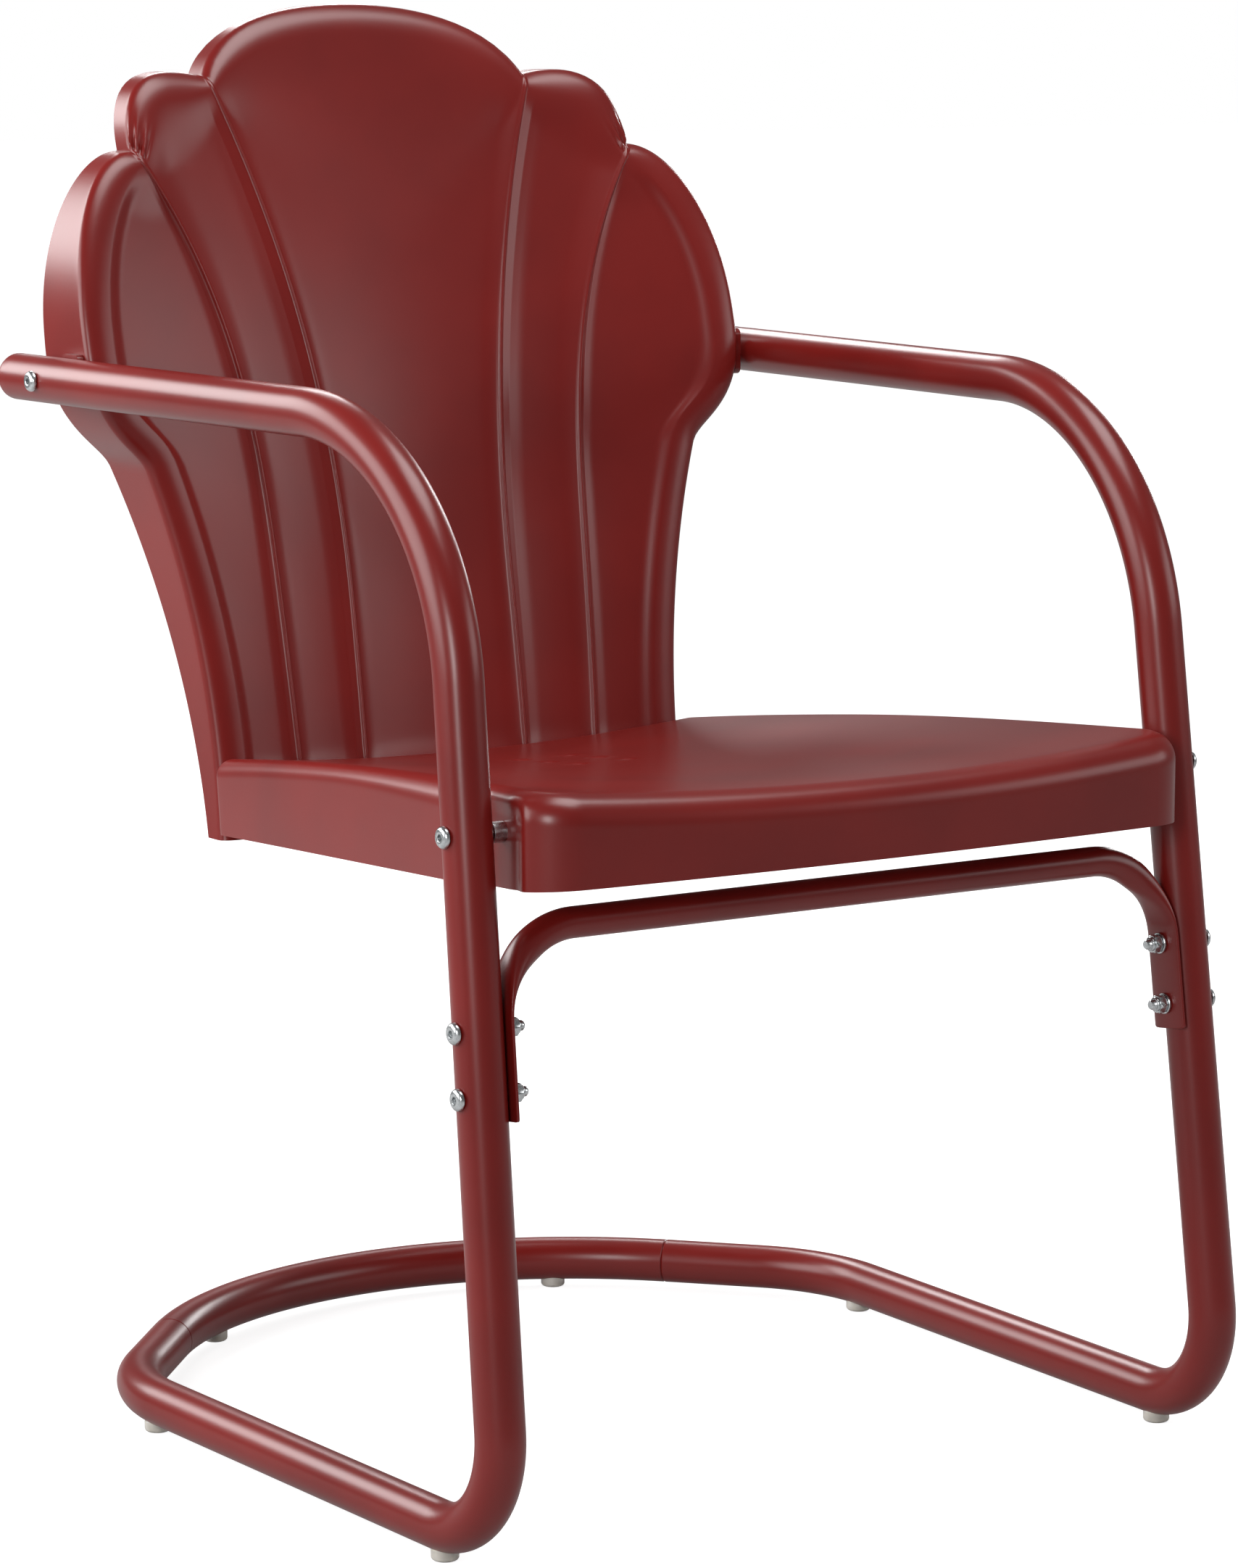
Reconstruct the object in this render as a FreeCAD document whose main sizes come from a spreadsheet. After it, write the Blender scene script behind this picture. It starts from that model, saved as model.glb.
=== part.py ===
import FreeCAD, Part
import math
import os

import Sketcher

from FreeCAD import Placement, Rotation, Vector

# A retro spring lawn chair: bent tube frame, stamped steel seat and petal back.
# Millimetres. Z is up from the floor and the sitter faces -Y, so +X is the sitter's left.
# Depths count back from the front floor corner, where the line of a leg meets the line of its runner,
# and every piece is then moved so that the origin lies under the middle of the chair.

SIZES = [
    ("tube_dia", 28.6, "outside diameter of the frame tube"),
    ("tube_wall", 1.5, "wall of the frame tube"),
    ("glide_lift", 4.7, "underside of the runners above the floor"),
    ("floor_half", 254.9, "half the width between the leg lines at the front floor corner"),
    ("runner_splay", 1.48, "degrees that a runner turns outwards"),
    ("leg_lean", 7.2, "degrees that a leg leans back"),
    ("leg_draw_in", 1.05, "degrees that a leg leans inwards"),
    ("arm_height", 630.3, "arm centreline above the floor at the front corner"),
    ("arm_splay", 2.45, "degrees that an arm turns outwards"),
    ("arm_rise", 0.35, "degrees that an arm rises to the rear"),
    ("arm_tip_depth", 552.5, "depth of the arm's rear tip"),
    ("tip_dome", 8.0, "length of the dome that closes an arm"),
    ("floor_bend", 58.8, "bend radius at the foot of a leg"),
    ("shoulder_bend", 159.7, "bend radius between leg and arm"),
    ("corner_bend", 114.1, "bend radius between runner and rear bow"),
    ("bow_radius", 257.1, "radius of the rear floor bow"),
    ("bow_depth", 586.3, "depth of the bow's centreline at the rear"),
    ("bow_joint_half", 190.7, "half the width between the two slip joints"),
    ("spigot_length", 40.0, "length of a swaged end inside a side tube"),
    ("slip_fit", 0.3, "gap between a swaged end and the tube round it"),
    ("joint_chamfer", 0.8, "chamfer on both tubes at a slip joint"),
    ("flex_rise", 1.5, "height of the flexing line above the end of the floor bend"),
    ("flex_gap", 0.3, "gap at the flexing line"),
    ("glide_dia", 16.0, "diameter of a floor glide"),
    ("glide_saddle", 3.0, "height that a glide climbs the tube"),
    ("saddle_fit", 0.2, "gap between a glide and its tube"),
    ("front_glide_depth", 62.0, "depth of the front glides"),
    ("rear_glide_depth", 382.0, "depth of the rear runner glides"),
    ("bow_glide_half", 131.0, "half the width between the bow glides"),
    ("screw_dia", 4.0, "diameter of a glide screw"),
    ("screw_head_dia", 7.6, "diameter of a glide screw head"),
    ("screw_head_height", 1.8, "height of a glide screw head"),
    ("screw_recess", 1.0, "glide screw head above the floor"),
    ("screw_length", 11.0, "length of a glide screw under its head"),
    ("thread_fit", 0.2, "gap round every screw, bolt and fastener seat"),
    ("bolt_dia", 6.0, "diameter of a bolt"),
    ("head_dia", 12.6, "diameter of a bolt head"),
    ("head_height", 3.4, "height of a bolt head"),
    ("head_round", 2.4, "rounding of a bolt head"),
    ("socket_flats", 4.0, "width of the hexagon socket"),
    ("socket_depth", 2.0, "depth of the hexagon socket"),
    ("bolt_tip", 3.0, "bolt end past its nut"),
    ("nut_flats", 10.0, "width of a nut across its flats"),
    ("nut_height", 5.0, "height of a nut's hexagon"),
    ("collar_dia", 8.6, "diameter of a nut's locking collar"),
    ("collar_height", 1.6, "height of a nut's locking collar"),
    ("washer_dia", 12.5, "outside diameter of a washer"),
    ("washer_thick", 1.5, "thickness of a washer"),
    ("spacer_dia", 12.0, "outside diameter of a seat spacer"),
    ("seat_bolt_height", 410.8, "height of the seat bolts"),
    ("brace_bolt_upper", 304.5, "height of the upper brace bolts"),
    ("brace_bolt_lower", 268.5, "height of the lower brace bolts"),
    ("arm_bolt_depth", 503.0, "depth of the arm bolts"),
    ("back_bolt_height", 361.0, "height of the bolts between seat and back"),
    ("back_bolt_inner", 44.0, "half the width between the inner back bolts"),
    ("back_bolt_outer", 132.0, "half the width between the outer back bolts"),
    ("brace_dia", 17.8, "diameter of the cross brace"),
    ("brace_wall", 1.5, "wall of the cross brace"),
    ("brace_height", 357.3, "height of the cross brace"),
    ("brace_bend", 50.0, "bend radius of the cross brace"),
    ("plate_width", 27.0, "width of the brace's flattened end"),
    ("plate_thick", 3.0, "thickness of the brace's flattened end"),
    ("plate_foot", 253.5, "bottom of the flattened end above the floor"),
    ("sheet", 1.2, "thickness of the stamped sheet"),
    ("back_datum_height", 390.0, "height where the back's face is measured"),
    ("back_datum_depth", 474.2, "depth of the back's face at that height"),
    ("back_lean", 7.97, "degrees that the back leans at that height"),
    ("back_curve", 2560.0, "radius of the back's curve from seat to crown"),
    ("back_wrap", 862.0, "radius of the back's curve round the sitter"),
    ("shell_foot", 346.0, "bottom of the back shell above the floor"),
    ("crown_height", 861.0, "top of the middle petal"),
    ("inner_notch_half", 120.0, "half the width between the inner notches"),
    ("inner_notch_height", 816.0, "height of the inner notches"),
    ("outer_notch_half", 185.0, "half the width between the outer notches"),
    ("outer_notch_height", 770.0, "height of the outer notches"),
    ("wing_height", 660.0, "height where the back is widest"),
    ("arm_gap", 4.7, "gap between the back shell and an arm, filled by the bracket"),
    ("wing_foot", 575.0, "height where the waist turns out into the wing"),
    ("waist_half", 173.5, "half the width of the back's waist"),
    ("waist_height", 380.0, "height of the waist"),
    ("waist_radius", 625.0, "radius of the waist's curve"),
    ("rim_width", 18.0, "width of the rounded rim of the back"),
    ("rim_drop", 12.0, "depth of the rounded rim of the back"),
    ("flute_depth", 6.0, "depth of the hollow in each petal"),
    ("inner_rib_half", 60.0, "half the width between the inner ribs at their foot"),
    ("outer_rib_half", 111.0, "half the width between the outer ribs at their foot"),
    ("inner_rib_turn", 478.0, "height where the inner ribs start to spread"),
    ("outer_rib_turn", 506.0, "height where the outer ribs start to spread"),
    ("outer_rib_splay", 2.3, "degrees that the outer ribs spread below that height"),
    ("wing_straight", 10.0, "straight edge below the widest line of the wing"),
    ("wing_lead", 15.0, "how far the waist's direction carries into the wing"),
    ("wing_sweep", 52.0, "how far the wing's edge is drawn up before it is straight"),
    ("lobe_bulge", 30.0, "how far a second petal's edge is drawn out beyond its notches"),
    ("crown_flat", 55.0, "how far the middle petal's top is drawn out level"),
    ("crown_shoulder", 17.0, "how far the middle petal's shoulder is drawn in from its notch"),
    ("flange_peak", 612.0, "height where the edge flange is deepest"),
    ("flute_foot", 366.0, "height where the hollows of the petals start"),
    ("flute_rise", 40.0, "height over which the hollows deepen"),
    ("foot_flange", 22.0, "depth of the back's edge flange at its foot"),
    ("wing_flange", 62.0, "depth of the edge flange at the wings"),
    ("notch_flange", 25.0, "depth of the edge flange at the notches"),
    ("crown_flange", 17.0, "depth of the edge flange at the crown"),
    ("seat_front", -7.0, "depth of the seat's front edge at the middle"),
    ("seat_front_bow", 2100.0, "radius of the seat's front edge"),
    ("seat_corner", 36.0, "radius of the seat's front corners"),
    ("seat_rear_corner", 14.0, "radius of the seat's rear corners"),
    ("seat_side_gap", 2.0, "gap between the seat's side and a leg"),
    ("seat_rear_depth", 458.0, "depth where the seat's rear is measured"),
    ("seat_crest_bow", 6.3, "how far the side crest stands above its straight line"),
    ("seat_edge_dip", 10.0, "depth of the hollow at the seat's front and rear edges"),
    ("seat_rear_half", 181.0, "half the seat's width at its rear"),
    ("seat_crest_front", 438.0, "height of the seat's side crest at the front"),
    ("seat_crest_rear", 398.0, "height of the seat's side crest at the rear"),
    ("seat_dip", 17.0, "depth of the seat's hollow at its middle"),
    ("seat_hem_front", 382.7, "bottom of the seat's front flange"),
    ("seat_hem_rear", 351.5, "bottom of the seat's rear flange"),
    ("seat_roll", 12.0, "rounding of the seat's edge"),
    ("seat_contact", 0.3, "gap between the seat's rear flange and the back"),
    ("pocket_depth", 7.0, "depth of the pocket pressed in the seat's side at a leg"),
    ("pocket_length", 46.0, "length of that pocket from front to rear"),
    ("pocket_height", 33.0, "height of that pocket"),
    ("pocket_round", 5.0, "corner radius of that pocket"),
    ("drain_dia", 6.0, "diameter of a drain hole in the seat"),
    ("drain_spread", 36.0, "distance between two drain holes across the seat"),
    ("drain_depth", 323.0, "depth of the middle pair of drain holes"),
    ("drain_step", 32.0, "distance between the pairs of drain holes from front to rear"),
    ("bracket_width", 21.0, "width of a back bracket"),
    ("bracket_height", 30.0, "height of a back bracket"),
    ("bracket_offset", 5.5, "middle of a back bracket behind its bolt"),
    ("bracket_round", 4.0, "corner radius of a back bracket"),
]

# Shares and counts that shape the curves

# shares of the brace's bend where pressing flat starts and is complete
PRESS_FROM = 0.4
PRESS_TO = 0.92
# how square the pressed section is, 1 being round
PRESS_SQUARE = 0.55
# points round a section of the brace
RING_POINTS = 24
# sections along a bend of the brace
BEND_RINGS = 13
# distance at which two points count as one
SAME_POINT = 1e-6
# poles that a smooth curve has beyond its points
END_POLES = 2
# points along a rib
RIB_SAMPLES = 49
# points across a side petal
LOBE_SAMPLES = 13
# points across the middle petal
CROWN_SAMPLES = 25
# steps round the rim
RIM_STEPS = 6
# steps along the edge flange
FLANGE_STEPS = 3
# mitre below a notch, in rim widths
MITRE = 1.15
# how late the flange narrows above the wing
WING_FLANGE_POWER = 2.2
# how late the inner ribs spread
INNER_RIB_POWER = 2.28
# how late the outer ribs spread
OUTER_RIB_POWER = 2.9
# lead of a side petal's edge at its inner notch
LOBE_START = 0.35
# lead of a side petal's edge at its outer notch
LOBE_END = 0.3
# how much fuller a side petal is at its outer side
LOBE_SHOULDER = 1.25
# how steeply the middle petal falls to its notch
CROWN_FALL = 1.9
# share of an edge over which it turns into its mitre
MITRE_REACH = 0.3
# how late a petal's hollow ends below its tip
TIP_POWER = 6
# largest gap between two faces that share an edge
SEW_GAP = 0.001
# points along each side of a smooth cutting surface
SURFACE_SAMPLES = 13
# how far the cutting surfaces reach past the seat
SEAT_MARGIN = 30.0
# how far the seat's block reaches below its hem
WORK_BELOW = 120.0
# steps that settle where the seat's front meets its side
CORNER_STEPS = 6
# lean below which an edge counts as upright
UPRIGHT_SHARE = 0.25

doc = FreeCAD.newDocument("spring_chair")
sheet = doc.addObject("Spreadsheet::Sheet", "sizes")
for row, (alias, value, meaning) in enumerate(SIZES, start=1):
    sheet.set(f"A{row}", meaning)
    sheet.set(f"B{row}", str(value))
    sheet.setAlias(f"B{row}", alias)
doc.recompute()
size = {alias: float(sheet.get(alias)) for alias, value, meaning in SIZES}

sides = (("left", 1), ("right", -1))
parts = []


def slope(degrees):
    """Rise per millimetre of run of a line at this angle."""
    return math.tan(math.radians(degrees))


# Values that several pieces share, worked out from the sheet.

tube_radius = size["tube_dia"] / 2
floor_level = size["glide_lift"] + tube_radius
bow_centre = size["bow_depth"] - size["bow_radius"]
middle_depth = (size["seat_front"] + size["bow_depth"] + tube_radius) / 2
hole_dia = size["bolt_dia"] + 2 * size["thread_fit"]
fit = size["thread_fit"]


def leg_at(height, side=1):
    """Centre of a leg at a height."""
    rise = height - floor_level
    across = size["floor_half"] - slope(size["leg_draw_in"]) * rise
    return Vector(side * across, slope(size["leg_lean"]) * rise, height)


def leg_face(height, way):
    """Distance from the middle to a leg's inner face (way -1) or outer face (way 1)."""
    return leg_at(height).x + way * tube_radius / math.cos(math.radians(size["leg_draw_in"]))


def arm_at(depth, side=1):
    """Centre of an arm at a depth."""
    corner = leg_at(size["arm_height"])
    run = depth - corner.y
    across = corner.x + slope(size["arm_splay"]) * run
    return Vector(side * across, depth, corner.z + slope(size["arm_rise"]) * run)


def arm_face(depth, way):
    """Distance from the middle to an arm's inner face (way -1) or outer face (way 1)."""
    return arm_at(depth).x + way * tube_radius / math.cos(math.radians(size["arm_splay"]))


def add_part(label, shape=None, body=None):
    """Keep a finished piece as a document object under its label."""
    piece = body or doc.addObject("Part::Feature", label)
    if shape is not None:
        piece.Shape = shape
    piece.Label = label
    piece.Placement = Placement(Vector(0, -middle_depth, 0), Rotation())
    parts.append(piece)
    return piece


def bar(diameter, start, end):
    """Round bar between two points."""
    return Part.makeCylinder(diameter / 2, (end - start).Length, start, end - start)


def mirrored(point):
    return Vector(-point.x, point.y, point.z)


# Bent tubes

def bent_path(points, radii):
    """Straight runs through the points, with each corner turned on its radius."""
    edges = []
    start = points[0]
    for before, corner, after, radius in zip(points, points[1:], points[2:], radii):
        along = (corner - before).normalize()
        onward = (after - corner).normalize()
        half_turn = along.getAngle(onward) / 2
        reach = radius * math.tan(half_turn)
        first = corner - along * reach
        last = corner + onward * reach
        inward = (onward - along).normalize()
        crown = corner + inward * (radius / math.cos(half_turn) - radius)
        edges.append(Part.LineSegment(start, first).toShape())
        edges.append(Part.Arc(first, crown, last).toShape())
        start = last
    edges.append(Part.LineSegment(start, points[-1]).toShape())
    return Part.Wire(edges)


def sweep(path, diameter):
    """Solid round section along a path."""
    edge = path.Edges[0]
    start = edge.valueAt(edge.FirstParameter)
    along = edge.tangentAt(edge.FirstParameter)
    ring = Part.Wire(Part.makeCircle(diameter / 2, start, along))
    return path.makePipeShell([ring], True, False)


def dome(radius, depth, centre, along):
    """Half of an ellipsoid that closes a tube's end."""
    ellipse = Part.Ellipse(Vector(0, 0, 0), radius, depth)
    curve = Part.ArcOfEllipse(ellipse, 0, math.pi / 2).toShape()
    top = Vector(0, depth, 0)
    rim = Vector(radius, 0, 0)
    outline = Part.Wire([
        curve,
        Part.LineSegment(top, Vector()).toShape(),
        Part.LineSegment(Vector(), rim).toShape(),
    ])
    solid = Part.Face(outline).revolve(Vector(), Vector(0, 1, 0), 360)
    solid.Placement = Placement(centre, Rotation(Vector(0, 1, 0), along))
    return solid


bore_dia = size["tube_dia"] - 2 * size["tube_wall"]
joint_across = size["bow_joint_half"]
joint_depth = bow_centre + math.sqrt(size["bow_radius"] ** 2 - joint_across ** 2)


def floor_corner(side):
    """Where the line of a runner meets the line of the stub that leads to the slip joint."""
    stub = Vector(joint_depth - bow_centre, -joint_across, 0).normalize()
    gain = slope(size["runner_splay"])
    gap = size["floor_half"] + gain * joint_depth - joint_across
    run = gap / (stub.x - gain * stub.y)
    across = joint_across + stub.x * run
    return Vector(side * across, joint_depth + stub.y * run, floor_level)


def flex_height():
    """Height of the line where a leg flexes, just above the floor bend."""
    lean = math.radians(size["leg_lean"])
    reach = size["floor_bend"] * math.tan((math.pi / 2 + lean) / 2)
    return floor_level + reach * math.cos(lean) + size["flex_rise"]


def glide_points():
    """Middle of each glide on the floor."""
    points = []
    for label, side in sides:
        for depth in (size["front_glide_depth"], size["rear_glide_depth"]):
            across = size["floor_half"] + slope(size["runner_splay"]) * depth
            points.append(Vector(side * across, depth, 0))
        across = size["bow_glide_half"]
        reach = math.sqrt(size["bow_radius"] ** 2 - across ** 2)
        points.append(Vector(side * across, bow_centre + reach, 0))
    return points


def drilled(shape, holes):
    """Shape with each hole, a diameter and two end points, cut through it."""
    for diameter, start, end in holes:
        shape = shape.cut(bar(diameter, start, end))
    return shape


def glide_holes():
    """Screw holes through the underside of the floor tubes."""
    width = size["screw_dia"] + 2 * fit
    return [(width, point, Vector(point.x, point.y, floor_level)) for point in glide_points()]


def floor_path(side):
    """Centreline from the flexing line down the leg's foot and along the runner to the slip joint."""
    top = leg_at(flex_height(), side)
    front = Vector(side * size["floor_half"], 0, floor_level)
    joint = Vector(side * joint_across, joint_depth, floor_level)
    return bent_path([top, front, floor_corner(side), joint], [size["floor_bend"], size["corner_bend"]])


def joint_edges(shape):
    """Outer edges of a tube at the slip joints."""
    found = []
    for edge in shape.Edges:
        middle = edge.BoundBox.Center
        at_joint = math.hypot(abs(middle.x) - joint_across, middle.y - joint_depth) < size["slip_fit"]
        if at_joint and abs(edge.BoundBox.ZLength - size["tube_dia"]) < size["slip_fit"]:
            found.append(edge)
    return found


def floor_tube(side):
    path = floor_path(side)
    tube = sweep(path, size["tube_dia"])
    tube = tube.makeChamfer(size["joint_chamfer"], joint_edges(tube))
    return drilled(tube.cut(sweep(path, bore_dia)), glide_holes())


def bow_path(trim=0):
    """Centreline of the rear bow between the slip joints, shortened at each end by a length."""
    half = math.asin(joint_across / size["bow_radius"]) - trim / size["bow_radius"]
    reach = size["bow_radius"] * math.sin(half)
    depth = bow_centre + size["bow_radius"] * math.cos(half)
    left = Vector(reach, depth, floor_level)
    rear = Vector(0, size["bow_depth"], floor_level)
    return Part.Wire([Part.Arc(left, rear, mirrored(left)).toShape()])


def rear_bow():
    tube = sweep(bow_path(), size["tube_dia"])
    tube = tube.makeChamfer(size["joint_chamfer"], joint_edges(tube))
    spigot_dia = bore_dia - 2 * size["slip_fit"]
    neck = 2 * size["tube_wall"]
    bore_reach = 3 * neck
    bores = []
    for label, side in sides:
        joint = Vector(side * joint_across, joint_depth, floor_level)
        along = (floor_corner(side) - joint).normalize()
        far = joint + along * size["spigot_length"]
        tube = tube.fuse(bar(spigot_dia, joint - along * neck, far))
        bores.append((spigot_dia - 2 * size["tube_wall"], joint - along * bore_reach, far))
    tube = tube.cut(sweep(bow_path(2 * neck), bore_dia))
    return drilled(tube, bores + glide_holes())


def arm_path(side):
    """Centreline from the flexing line up the leg, over the shoulder and back to the arm's dome."""
    foot = leg_at(flex_height() + size["flex_gap"], side)
    corner = leg_at(size["arm_height"], side)
    tip = arm_at(size["arm_tip_depth"] - size["tip_dome"], side)
    return bent_path([foot, corner, tip], [size["shoulder_bend"]])


def cross_hole(centre, side):
    """A bolt hole across the chair through the tube round this point."""
    reach = Vector(side * size["tube_dia"], 0, 0)
    return (hole_dia, centre - reach, centre + reach)


def arm_tube(side):
    path = arm_path(side)
    tip = arm_at(size["arm_tip_depth"] - size["tip_dome"], side)
    along = tip - leg_at(size["arm_height"], side)
    outer = sweep(path, size["tube_dia"]).fuse(dome(tube_radius, size["tip_dome"], tip, along))
    inner_dome = dome(bore_dia / 2, size["tip_dome"] - size["tube_wall"], tip, along)
    inner = sweep(path, bore_dia).fuse(inner_dome)
    heights = (size["seat_bolt_height"], size["brace_bolt_upper"], size["brace_bolt_lower"])
    holes = [cross_hole(leg_at(height, side), side) for height in heights]
    holes.append(cross_hole(arm_at(size["arm_bolt_depth"], side), side))
    return drilled(outer.cut(inner), holes)


for label, side in sides:
    add_part(label + "_floor_tube", floor_tube(side))
    add_part(label + "_arm_tube", arm_tube(side))
add_part("rear_base_tube", rear_bow())


# Smooth stamped surfaces

def through(points):
    """Smooth curve through points at even steps."""
    last = len(points) - 1
    curve = Part.BSplineCurve()
    curve.interpolate(points, Parameters=[step / last for step in range(last + 1)])
    return curve


def poles_through(points):
    """Poles of that curve, also where the points have shrunk to one."""
    if all(point.isEqual(points[0], SAME_POINT) for point in points):
        return [points[0]] * (len(points) + END_POLES)
    return through(points).getPoles()


def patch(rows):
    """Smooth face through a grid of points."""
    across = [poles_through(row) for row in rows]
    along = [poles_through(list(column)) for column in zip(*across)]
    first_row = through(rows[0])
    first_column = through([row[0] for row in rows])
    surface = Part.BSplineSurface()
    surface.buildFromPolesMultsKnots(
        [list(row) for row in zip(*along)],
        first_column.getMultiplicities(),
        first_row.getMultiplicities(),
        first_column.getKnots(),
        first_row.getKnots(),
        False,
        False,
        first_column.Degree,
        first_row.Degree,
    )
    return surface.toShape()


def strip(points, others):
    """Straight-ruled face between two smooth curves."""
    return Part.makeRuledSurface(through(points).toShape(), through(others).toShape())


def flat(across, height):
    """Point in the front view, before its depth is known."""
    return Vector(across, 0, height)


def even(start, end, count):
    return [start + (end - start) * (step / (count - 1)) for step in range(count)]


def sewn_solid(faces):
    """Solid inside faces that share their edges."""
    sewn = Part.makeCompound(faces)
    sewn.sewShape(SEW_GAP)
    solid = Part.makeSolid(sewn.Shells[0])
    if solid.Volume < 0:
        solid.reverse()
    return solid


def eased(share):
    """Share from 0 to 1 that starts and stops gently."""
    share = min(max(share, 0), 1)
    return share * share * (3 - 2 * share)


# Cross brace: a round tube whose two ends are bent down and pressed flat against the legs

def in_leg_plane(across, height, aside):
    """Point in the plane of the two legs, moved square to it by aside."""
    lean = math.radians(size["leg_lean"])
    depth = slope(size["leg_lean"]) * (height - floor_level)
    return Vector(across, depth + aside * math.cos(lean), height - aside * math.sin(lean))


def brace_corner():
    """Where the middle of the brace and the middle of its left flat end would meet."""
    clear = fit + size["plate_thick"] / 2
    return leg_face(size["brace_height"], -1) - clear


def brace_ring(centre, angle, pressed, side):
    """Section of the brace at a centre, turned down by an angle and pressed by a share."""
    pressed = eased(pressed)
    round_half = size["brace_dia"] / 2
    wide = round_half + (size["plate_width"] / 2 - round_half) * pressed
    thin = round_half + (size["plate_thick"] / 2 - round_half) * pressed
    power = 1 - (1 - PRESS_SQUARE) * pressed
    points = []
    for step in range(RING_POINTS + 1):
        way = 2 * math.pi * step / RING_POINTS
        flat_share = math.copysign(abs(math.cos(way)) ** power, math.cos(way))
        thin_share = math.copysign(abs(math.sin(way)) ** power, math.sin(way))
        across = centre.x + thin * thin_share * math.sin(angle)
        height = centre.z + thin * thin_share * math.cos(angle)
        points.append(in_leg_plane(side * across, height, wide * flat_share))
    return points


def brace_runs(side):
    """Rings of the half straight, the bend and the flat end on one side."""
    turn = math.radians(90 - size["leg_draw_in"])
    radius = size["brace_bend"]
    start = brace_corner() - radius * math.tan(turn / 2)
    level = size["brace_height"]
    straight = [brace_ring(flat(x, level), 0, 0, side) for x in even(0, start, RIM_STEPS)]
    bend = []
    for angle in even(0, turn, BEND_RINGS):
        centre = flat(start + radius * math.sin(angle), level - radius * (1 - math.cos(angle)))
        pressed = (angle / turn - PRESS_FROM) / (PRESS_TO - PRESS_FROM)
        bend.append(brace_ring(centre, angle, pressed, side))
    foot_level = size["plate_foot"]
    foot = flat(leg_face(foot_level, -1) - fit - size["plate_thick"] / 2, foot_level)
    plate = [brace_ring(spot, turn, 1, side) for spot in even(centre, foot, RIM_STEPS)]
    return [straight, bend, plate]


def brace():
    faces = []
    half = RING_POINTS // 2
    for label, side in sides:
        for rings in brace_runs(side):
            faces.append(patch([ring[:half + 1] for ring in rings]))
            faces.append(patch([ring[half:] for ring in rings]))
        foot = rings[-1]
        edges = [through(foot[:half + 1]).toShape(), through(foot[half:]).toShape()]
        faces.append(Part.Face(Part.Wire(edges)))
    solid = sewn_solid(faces)
    bore = size["brace_dia"] - 2 * size["brace_wall"]
    reach = brace_corner() - size["brace_bend"]
    ends = [in_leg_plane(side * reach, size["brace_height"], 0) for label, side in sides]
    solid = solid.cut(bar(bore, ends[0], ends[1]))
    holes = []
    for label, side in sides:
        for height in (size["brace_bolt_upper"], size["brace_bolt_lower"]):
            holes.append(cross_hole(leg_at(height, side), side))
    return drilled(solid, holes)


add_part("seat_brace", brace())


# Stamped back: five petals that are hollowed between ribs, with a round rim and an edge flange

def face_depth(across, height):
    """Depth of the back's face at a rib."""
    rise = height - size["back_datum_height"]
    leaning = slope(size["back_lean"]) * rise + rise ** 2 / (2 * size["back_curve"])
    return size["back_datum_depth"] + leaning - across ** 2 / (2 * size["back_wrap"])


def face_normal(across, height):
    """Direction square to the back's face, towards the rear."""
    rise = height - size["back_datum_height"]
    lean = slope(size["back_lean"]) + rise / size["back_curve"]
    return Vector(across / size["back_wrap"], 1, -lean).normalize()


def inner_rib(height):
    """Distance of an inner rib from the middle."""
    spread = size["inner_notch_half"] - size["inner_rib_half"]
    share = (height - size["inner_rib_turn"]) / (size["inner_notch_height"] - size["inner_rib_turn"])
    return size["inner_rib_half"] + spread * max(share, 0) ** INNER_RIB_POWER


def outer_rib(height):
    """Distance of an outer rib from the middle."""
    def base(level):
        return size["outer_rib_half"] + slope(size["outer_rib_splay"]) * (level - size["back_datum_height"])
    spread = size["outer_notch_half"] - base(size["outer_notch_height"])
    share = (height - size["outer_rib_turn"]) / (size["outer_notch_height"] - size["outer_rib_turn"])
    return base(height) + spread * max(share, 0) ** OUTER_RIB_POWER


wing_half = arm_face(size["arm_bolt_depth"], -1) - size["arm_gap"]


def bezier(points):
    curve = Part.BezierCurve()
    curve.setPoles(points)
    return curve.toShape()


def wing_outline():
    """Edge of the back from its foot up the waist and round the wing to the outer notch."""
    def waist(height):
        rise = height - size["waist_height"]
        sag = size["waist_radius"] - math.sqrt(size["waist_radius"] ** 2 - rise ** 2)
        return flat(size["waist_half"] + sag, height)
    foot = waist(size["shell_foot"])
    middle = waist((size["shell_foot"] + size["wing_foot"]) / 2)
    top = waist(size["wing_foot"])
    climb = size["wing_foot"] - size["waist_height"]
    onward = flat(climb, math.sqrt(size["waist_radius"] ** 2 - climb ** 2)).normalize()
    sweep_end = flat(wing_half, size["wing_height"] - size["wing_straight"])
    widest = flat(wing_half, size["wing_height"])
    notch = flat(size["outer_notch_half"], size["outer_notch_height"])
    across = wing_half - notch.x
    rise = notch.z - widest.z
    centre = flat(notch.x, widest.z)
    axes = [centre + flat(0, rise), centre + flat(across, 0)]
    quarter = Part.Arc(Part.Ellipse(axes[0], axes[1], centre), 0, math.pi / 2)
    return Part.Wire([
        Part.Arc(foot, middle, top).toShape(),
        bezier([
            top,
            top + onward * size["wing_lead"],
            sweep_end - flat(0, size["wing_sweep"]),
            sweep_end,
        ]),
        Part.LineSegment(sweep_end, widest).toShape(),
        quarter.toShape(),
    ])


def lobe_outline():
    """Edge of the second petal from the inner notch to the outer notch."""
    start = flat(size["inner_notch_half"], size["inner_notch_height"])
    end = flat(size["outer_notch_half"], size["outer_notch_height"])
    rise = (end - start).normalize()
    crown = flat(-rise.z, rise.x) * size["lobe_bulge"]
    return bezier([
        start,
        start + (end - start) * LOBE_START + crown,
        end + (start - end) * LOBE_END + crown * LOBE_SHOULDER,
        end,
    ])


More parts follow.
